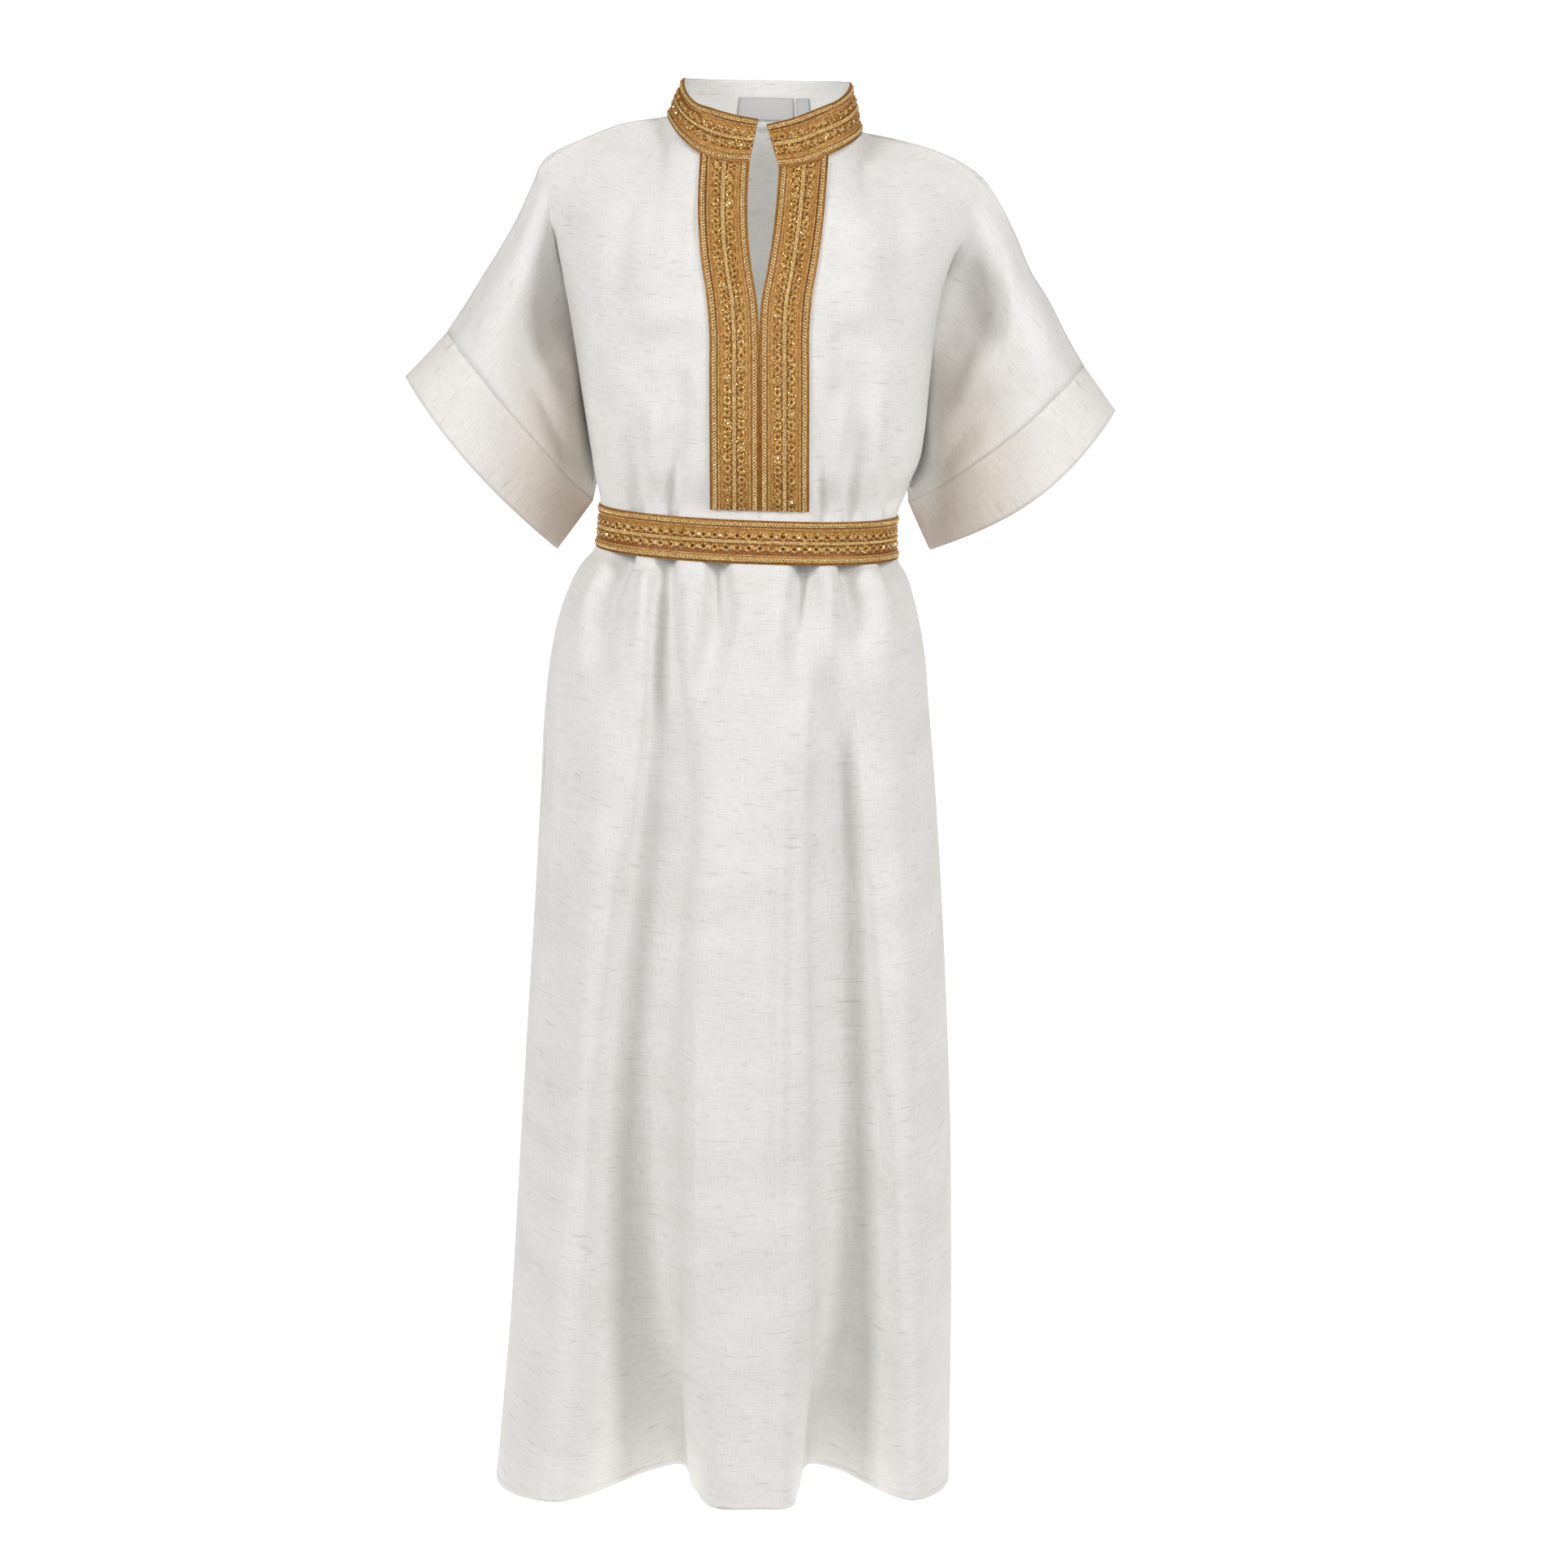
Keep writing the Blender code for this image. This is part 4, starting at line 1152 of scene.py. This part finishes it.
# %% [markdown]
# ## Materials
#
# Every finish is made of nodes. Helpers come first: one turns a screen colour,
# written as hex, into the linear light that the shader needs, one adds a node with
# its settings and links, and the rest are short names for nodes that come often.

# %% Helpers for materials
def colour(code):
    """A linear RGBA colour from an sRGB hex value."""
    parts = [int(code[i:i + 2], 16) / 255 for i in (0, 2, 4)]
    return (*[c / 12.92 if c <= 0.04045 else ((c + 0.055) / 1.055) ** 2.4 for c in parts], 1.0)


def add(material, kind, settings=None, **inputs):
    """Adds a node. Its inputs are given by name, or by number after an underscore: a value,
    or another node's output to link."""
    node = material.node_tree.nodes.new("ShaderNode" + kind)
    for key, value in (settings or {}).items():
        setattr(node, key, value)
    for key, value in inputs.items():
        socket = node.inputs[int(key[1:])] if key[0] == "_" else node.inputs[key.replace("_", " ")]
        if isinstance(value, bpy.types.NodeSocket):
            material.node_tree.links.new(value, socket)
        else:
            socket.default_value = value
    return node


def blank(name):
    """A new material with nothing but its output."""
    material = bpy.data.materials.new(name)
    material.use_nodes = True
    nodes = material.node_tree.nodes
    for node in list(nodes):
        if node.type != "OUTPUT_MATERIAL":
            nodes.remove(node)
    return material


def finish(material, shader):
    """Links the shader to the material's output."""
    output = next(n for n in material.node_tree.nodes if n.type == "OUTPUT_MATERIAL")
    material.node_tree.links.new(shader, output.inputs["Surface"])


def ramp(material, value, *stops):
    """A colour ramp through (position, hex colour or grey) stops."""
    node = add(material, "ValToRGB", Fac=value)
    elements = node.color_ramp.elements
    while len(elements) < len(stops):
        elements.new(1.0)
    for element, (position, code) in zip(elements, stops):
        element.position = position
        element.color = colour(code) if isinstance(code, str) else (code, code, code, 1)
    return node.outputs["Color"]


def maths(material, operation, *values):
    """The result of a sum, a product and the like."""
    named = {f"_{i}": value for i, value in enumerate(values)}
    return add(material, "Math", {"operation": operation}, **named).outputs[0]


def mixed(material, share, under, over, how="MIX"):
    """One colour laid over another, as much as share says."""
    settings = {"data_type": "RGBA", "blend_type": how}
    return add(material, "Mix", settings, _0=share, _6=under, _7=over).outputs[2]


def stretched(material, place, lengths, detail=2.0, offset=(0, 0, 0), roughness=0.5):
    """Noise whose spots have about these lengths, in metres, along each direction."""
    scale = tuple(1 / length if length else 0 for length in lengths)
    turned = add(material, "Mapping", Vector=place, Scale=scale, Location=offset)
    noise = add(material, "TexNoise", Vector=turned.outputs["Vector"], Scale=1.0, Detail=detail,
                Roughness=roughness)
    return noise.outputs["Fac"]


# %% [markdown]
# ## Slub linen
#
# The cloth is a plain weave of linen and viscose in a pale, unbleached white. Its
# weft is spun unevenly: thick places, the slubs, show as short dashes of beige and
# grey that run with the weft. The yarns lie about 0.6 mm apart, too fine to show
# from this far, so the weave is drawn about twice as coarse.
#
# Where a short sleeve hangs beside the body, its cloth lies in shade, dimmer and warmer.
# That shade is painted into the cloth's colour as a soft tint by place.

# %% Make the linen
WEAVE = 1.3 * MM
SLEEVE_PAINTED_SHADE = "EAE2DB"
# The painted shade's strength by the distance to either side, and by the depth below the neck.
SHADE_BESIDE_BODY = (0.162, 0.0), (0.178, 1.0), (0.212, 1.0), (0.272, 0.0)
SHADE_ALONG_SLEEVE = (0.13, 0.0), (0.3, 1.0), (0.395, 1.0), (0.42, 0.0)


def slub_linen(name, base, pale):
    """Pale cloth with a faint weave, slubs and flecks, and painted shade beside the body; soft and matt to
    the eye.
    """
    linen = blank(name)
    place = add(linen, "UVMap", {"uv_map": "cloth"}).outputs["UV"]
    clouds = stretched(linen, place, (0.09, 0.05, 0), detail=3)
    tone = ramp(linen, clouds, (0.3, base), (0.7, pale))
    weft = stretched(linen, place, (16 * MM, WEAVE, 0), detail=2, offset=(1, 5, 0))
    warp = stretched(linen, place, (WEAVE, 12 * MM, 0), detail=2, offset=(4, 2, 0))
    threads = maths(linen, "ADD", weft, warp)
    hatch = ramp(linen, threads, (0.8, 0.94), (1.2, 1.03))
    tone = mixed(linen, 1.0, tone, hatch, "MULTIPLY")
    faint = stretched(linen, place, (20 * MM, 0.9 * MM, 0), detail=2)
    tone = mixed(linen, ramp(linen, faint, (0.54, 0.0), (0.76, 0.4)), tone, colour("D6CFC4"))
    # A slub is a long thin spot of noise, kept only where a second noise is high.
    dashes = stretched(linen, place, (22 * MM, 0.7 * MM, 0), detail=1, offset=(3.1, 7.7, 0))
    sparse = stretched(linen, place, (24 * MM, 6 * MM, 0), detail=1, offset=(9.3, 1.2, 0))
    slubs = ramp(linen, maths(linen, "MULTIPLY", dashes, sparse), (0.37, 0.0), (0.46, 0.42))
    tone = mixed(linen, slubs, tone, colour("A99F8F"))
    flecks = add(linen, "TexVoronoi", Vector=place, Scale=95.0).outputs["Distance"]
    tone = mixed(linen, ramp(linen, flecks, (0.03, 0.4), (0.042, 0.0)), tone, colour("8E7B68"))
    # Painted shade: where the sleeves hang beside the body, the colour is dimmed and warmed by place.
    at = add(linen, "SeparateXYZ", Vector=add(linen, "TexCoord").outputs["Object"]).outputs
    beside = ramp(linen, maths(linen, "ABSOLUTE", at["X"]), *SHADE_BESIDE_BODY)
    along = ramp(linen, maths(linen, "MULTIPLY", at["Z"], -1.0), *SHADE_ALONG_SLEEVE)
    tint = mixed(linen, maths(linen, "MULTIPLY", beside, along), (1, 1, 1, 1), colour(SLEEVE_PAINTED_SHADE))
    tone = mixed(linen, 1.0, tone, tint, "MULTIPLY")
    raised = add(linen, "Bump", Height=maths(linen, "MULTIPLY_ADD", slubs, 0.4, threads), Strength=0.2,
                 Distance=0.5 * MM)
    shader = add(linen, "BsdfPrincipled", Base_Color=tone, Roughness=0.86, IOR=1.5,
                 Normal=raised.outputs["Normal"], Sheen_Weight=0.15, Sheen_Roughness=0.4)
    finish(linen, shader.outputs["BSDF"])
    return linen


linen = slub_linen("slub linen, plain weave", "DEDDD8", "E6E5E1")
# The cuffs' copy is a little warmer: painted warm shade, as the cuffs hang in the sleeves' shade.
cuff_linen_painted_warm_shade = slub_linen("slub linen, doubled, painted warm shade", "DFDCD6", "E7E4DE")

# %% [markdown]
# ## Label tape and sewing thread
#
# Satin tape has long floats of polyester, so it is smoother and a little greyer than
# the linen. The sewing thread is matt cotton in pale grey.

# %% Make the tape and the thread
def plain_cloth(name, dark, light, roughness, lengths):
    """Fine cloth whose threads show only as a faint change of tone."""
    cloth = blank(name)
    place = add(cloth, "TexCoord").outputs["Object"]
    floats = stretched(cloth, place, lengths, detail=2)
    tone = ramp(cloth, floats, (0.35, dark), (0.65, light))
    raised = add(cloth, "Bump", Height=floats, Strength=0.25, Distance=0.2 * MM)
    shader = add(cloth, "BsdfPrincipled", Base_Color=tone, Roughness=roughness, IOR=1.5,
                 Normal=raised.outputs["Normal"])
    finish(cloth, shader.outputs["BSDF"])
    return cloth


satin = plain_cloth("polyester satin tape", "BBBAB8", "CAC9C7", 0.45, (0.9 * MM, 0.9 * MM, 0.3 * MM))
sewing_thread = plain_cloth("cotton sewing thread", "8F8E8D", "A9A8A7", 0.8, (0.5 * MM, 0.5 * MM, 0.5 * MM))

# %% [markdown]
# ## Metallic ribbon
#
# The ribbon's ground is woven from brown and gold lurex: a strip of metal foil
# wound on polyester. Its crosswise ribs lie about 0.8 mm apart. The foil changes its
# tone from thread to thread, and is drawn coarser than that so that it still shows
# from a few metres away.

# %% Make the ribbon's ground
def lurex_ground(name):
    """Lanes of gold and brown along the ribbon, mirrored about its middle, with a soft gleam; the brown under
    the plaits and wire rows is partly painted shade.
    """
    ground = blank(name)
    place = add(ground, "UVMap", {"uv_map": "cloth"}).outputs["UV"]
    across = add(ground, "SeparateXYZ", Vector=place).outputs["Y"]
    half = maths(ground, "PINGPONG", maths(ground, "DIVIDE", across, RIBBON_WIDTH), 0.5)
    # The brown lanes are the weave's own colour, and painted shade darkens them further under the plaits and
    # the wire rows.
    lanes_and_painted_shade = ramp(ground, half, (0.0, "B5823C"), (0.05, "AC7736"), (0.085, "875426"), (0.13, "8D5A28"),
                 (0.17, "B88643"), (0.215, "B07C3C"), (0.25, "C29552"), (0.28, "B68642"), (0.3, "8C5624"),
                 (0.42, "925A26"), (0.45, "966228"))
    mottle = stretched(ground, place, (3.4 * MM, 2.2 * MM, 0), detail=4, roughness=0.7)
    shade = ramp(ground, mottle, (0.38, 0.55), (0.62, 1.35))
    tone = mixed(ground, 1.0, lanes_and_painted_shade, shade, "MULTIPLY")
    ribs = stretched(ground, place, (0.9 * MM, 6 * MM, 0), detail=1)
    raised = add(ground, "Bump", Height=ribs, Strength=0.6, Distance=0.5 * MM)
    shader = add(ground, "BsdfPrincipled", Base_Color=tone, Roughness=0.48, Metallic=0.3,
                 Normal=raised.outputs["Normal"])
    finish(ground, shader.outputs["BSDF"])
    return ground


ground_finish = lurex_ground("lurex ribbon, woven ground")


def metal_thread(name, dark, middle, light, roughness, metallic=0.45):
    """Bright metal or glass; its spots of tone are drawn coarser than real, so that they show."""
    thread = blank(name)
    place = add(thread, "TexCoord").outputs["Object"]
    spots = stretched(thread, place, (1.6 * MM, 1.6 * MM, 1.6 * MM), detail=2)
    tone = ramp(thread, spots, (0.32, dark), (0.5, middle), (0.66, light))
    shader = add(thread, "BsdfPrincipled", Base_Color=tone, Roughness=roughness, Metallic=metallic)
    finish(thread, shader.outputs["BSDF"])
    return thread


ground_plain = metal_thread("bronze lurex, folded end", "83531F", "A77234", "C89855", 0.45, 0.3)
bright_finish = metal_thread("gold lurex, plaited", "B5833F", "E2BE7C", "F8E2AE", 0.32)
wire_finish = metal_thread("gilt copper wire, twisted", "AA7028", "DFAF60", "F6DCA0", 0.28)
edge_finish = metal_thread("bronze lurex, whipped edge", "7E511D", "AB7932", "C69953", 0.45)
dark_finish = metal_thread("smoked glass beads", "3A1806", "683614", "A26A30", 0.22, 0.2)
light_finish = metal_thread("champagne glass beads", "DAB673", "EED7A1", "F5EED7", 0.14)
leaf_finish = metal_thread("gilt brass leaves", "874C0F", "D5983D", "F2D78E", 0.2, 0.7)

finishes = [([front_cloth, back_cloth, collar_cloth], linen), (cuffs.values(), cuff_linen_painted_warm_shade),
            (labels.values(), satin), (label_stitches.values(), sewing_thread),
            ([belt_fold], ground_plain), ([belt_whips], bright_finish),
            (grounds.values(), ground_finish), (bright_threads.values(), bright_finish),
            (wire_threads.values(), wire_finish), (edge_threads.values(), edge_finish),
            (dark_beads.values(), dark_finish), (light_beads.values(), light_finish),
            (leaves.values(), leaf_finish)]
for pieces, material in finishes:
    for piece in pieces:
        piece.data.materials.clear()
        piece.data.materials.append(material)
print(len(bpy.data.materials), "materials")

# %% [markdown]
# ## Floor and light
#
# A white sweep of paper, curved up behind, glows softly behind the garment. Two large
# soft lights of nearly the same strength stand to its sides, so that each fold has
# two bright walls, and a weaker one in front keeps the folds' floors from going grey.

# %% Make the studio
FLOOR = -1.42
SWEEP_SIZE = 14
SWEEP_HEIGHT = 7
SWEEP_BEND = 2.5
FAR_EDGE = 5  # everything beyond this belongs to the sweep's far edge


def select_edges(piece, wanted):
    """Selects the edges whose two ends are both wanted, then opens edit mode."""
    corners = piece.data.vertices
    for edge in piece.data.edges:
        edge.select = all(wanted(corners[i].co) for i in edge.vertices)
    bpy.ops.object.mode_set(mode="EDIT")
    bpy.ops.mesh.select_mode(type="EDGE")


bpy.ops.object.select_all(action="DESELECT")
bpy.ops.mesh.primitive_plane_add(size=SWEEP_SIZE, location=(0, -1.0, FLOOR))
sweep = bpy.context.object
sweep.name = "sweep"
bpy.ops.object.transform_apply(location=True, rotation=True, scale=True)
bpy.ops.object.mode_set(mode="EDIT")
bpy.ops.mesh.select_all(action="DESELECT")
bpy.ops.object.mode_set(mode="OBJECT")
select_edges(sweep, lambda co: co.y > FAR_EDGE)
bpy.ops.mesh.extrude_region_move(TRANSFORM_OT_translate={"value": (0, 0, SWEEP_HEIGHT)})
bpy.ops.object.mode_set(mode="OBJECT")
select_edges(sweep, lambda co: co.y > FAR_EDGE and co.z < FLOOR + 0.1)
bpy.ops.mesh.bevel(offset=SWEEP_BEND, segments=16, profile=0.5)
bpy.ops.object.mode_set(mode="OBJECT")
sweep.data.shade_smooth()

# The glow starts behind the garment and fades to the sides.
GLOW = 0.9
SIDE_GLOW = 0.12
soft_step = {"interpolation_type": "SMOOTHSTEP"}
paper = blank("white studio paper")
where = add(paper, "TexCoord").outputs["Object"]
paper_tone = ramp(paper, stretched(paper, where, (0.4, 0.4, 0.4), detail=1), (0.0, "DADADA"), (1.0, "DEDEDE"))
place = add(paper, "SeparateXYZ", Vector=where).outputs
behind = add(paper, "MapRange", soft_step, _0=place["Y"], _1=-0.4, _2=-0.02, _3=0.0, _4=GLOW)
aside = maths(paper, "ABSOLUTE", place["X"])
glow = add(paper, "MapRange", soft_step, _0=aside, _1=1.9, _2=4.6, _3=behind.outputs["Result"], _4=SIDE_GLOW)
paper_shader = add(paper, "BsdfPrincipled", Base_Color=paper_tone, Roughness=0.9,
                   Emission_Color=(1, 1, 1, 1), Emission_Strength=glow.outputs["Result"])
finish(paper, paper_shader.outputs["BSDF"])
sweep.data.materials.append(paper)


def soft_light(name, place, size, power, tint="FFFFFF", target=(0, 0, -0.4)):
    """A rectangular light of so many watts, turned towards its target."""
    bpy.ops.object.light_add(type="AREA", location=place)
    lamp = bpy.context.object
    lamp.name = name
    lamp.data.shape = "RECTANGLE"
    lamp.data.size, lamp.data.size_y = size
    lamp.data.energy = power
    lamp.data.color = colour(tint)[:3]
    lamp.rotation_euler = (Vector(target) - Vector(place)).to_track_quat("-Z", "Y").to_euler()
    return lamp


DAYLIGHT = "F8FAFF"
soft_light("key light", (-2.8, -2.3, 1.4), (1.0, 1.8), 83, DAYLIGHT)
soft_light("fill light", (2.8, -2.3, 1.3), (1.0, 1.8), 79, DAYLIGHT)
soft_light("front light", (0.1, -3.7, 0.5), (1.2, 1.2), 27, DAYLIGHT, target=(0, 0, -0.8))
soft_light("top light", (0, 0.6, 2.2), (2.4, 1.6), 4)

# A faint lamp inside the chest lights the back's inside, which shows through the slit.
inside = soft_light("inner fill", (0.0, -0.01, -0.16), (0.16, 0.3), 0.1, target=(0.0, 1.0, -0.12))
inside.visible_camera = False

world = bpy.data.worlds.new("studio")
world.use_nodes = True
background = world.node_tree.nodes["Background"].inputs
background["Color"].default_value = colour("FFEEDC")
background["Strength"].default_value = 0.19
bpy.context.scene.world = world
bpy.context.scene.view_settings.view_transform = "Standard"

# %% [markdown]
# ## Which piece stands for what
#
# Each cloth replaces its CAD solid, rides on the one body, and says what size its
# sheet was cut to.

def carry(pieces):
    """Puts pieces on the one body."""
    for piece in pieces:
        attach(piece, "root")


def declare(piece, node, small=()):
    """Hides the CAD node that a cloth replaces, puts the cloth on the one body, prints its cut, and takes its
    small pieces along.
    """
    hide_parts(node)
    carry([piece])
    width, length, area = sheet_cuts[piece.name]
    area = min(area, width * length)
    print(f"{piece.name}: {width * 1000:.0f} x {length * 1000:.0f} mm, {area:.4f} m2")
    carry(small)


declare(front_cloth, "front")
declare(back_cloth, "back")
declare(collar_cloth, "collar")
for side_name, cuff in cuffs.items():
    declare(cuff, "cuff_" + side_name)
for name, tape in labels.items():
    declare(tape, name, [label_stitches[name]])
trimmings = (bright_threads, wire_threads, edge_threads, dark_beads, light_beads, leaves)
for name, ground in grounds.items():
    small = [group[name] for group in trimmings]
    if name == "belt":
        small += [belt_fold, belt_whips]
    declare(ground, name, small)
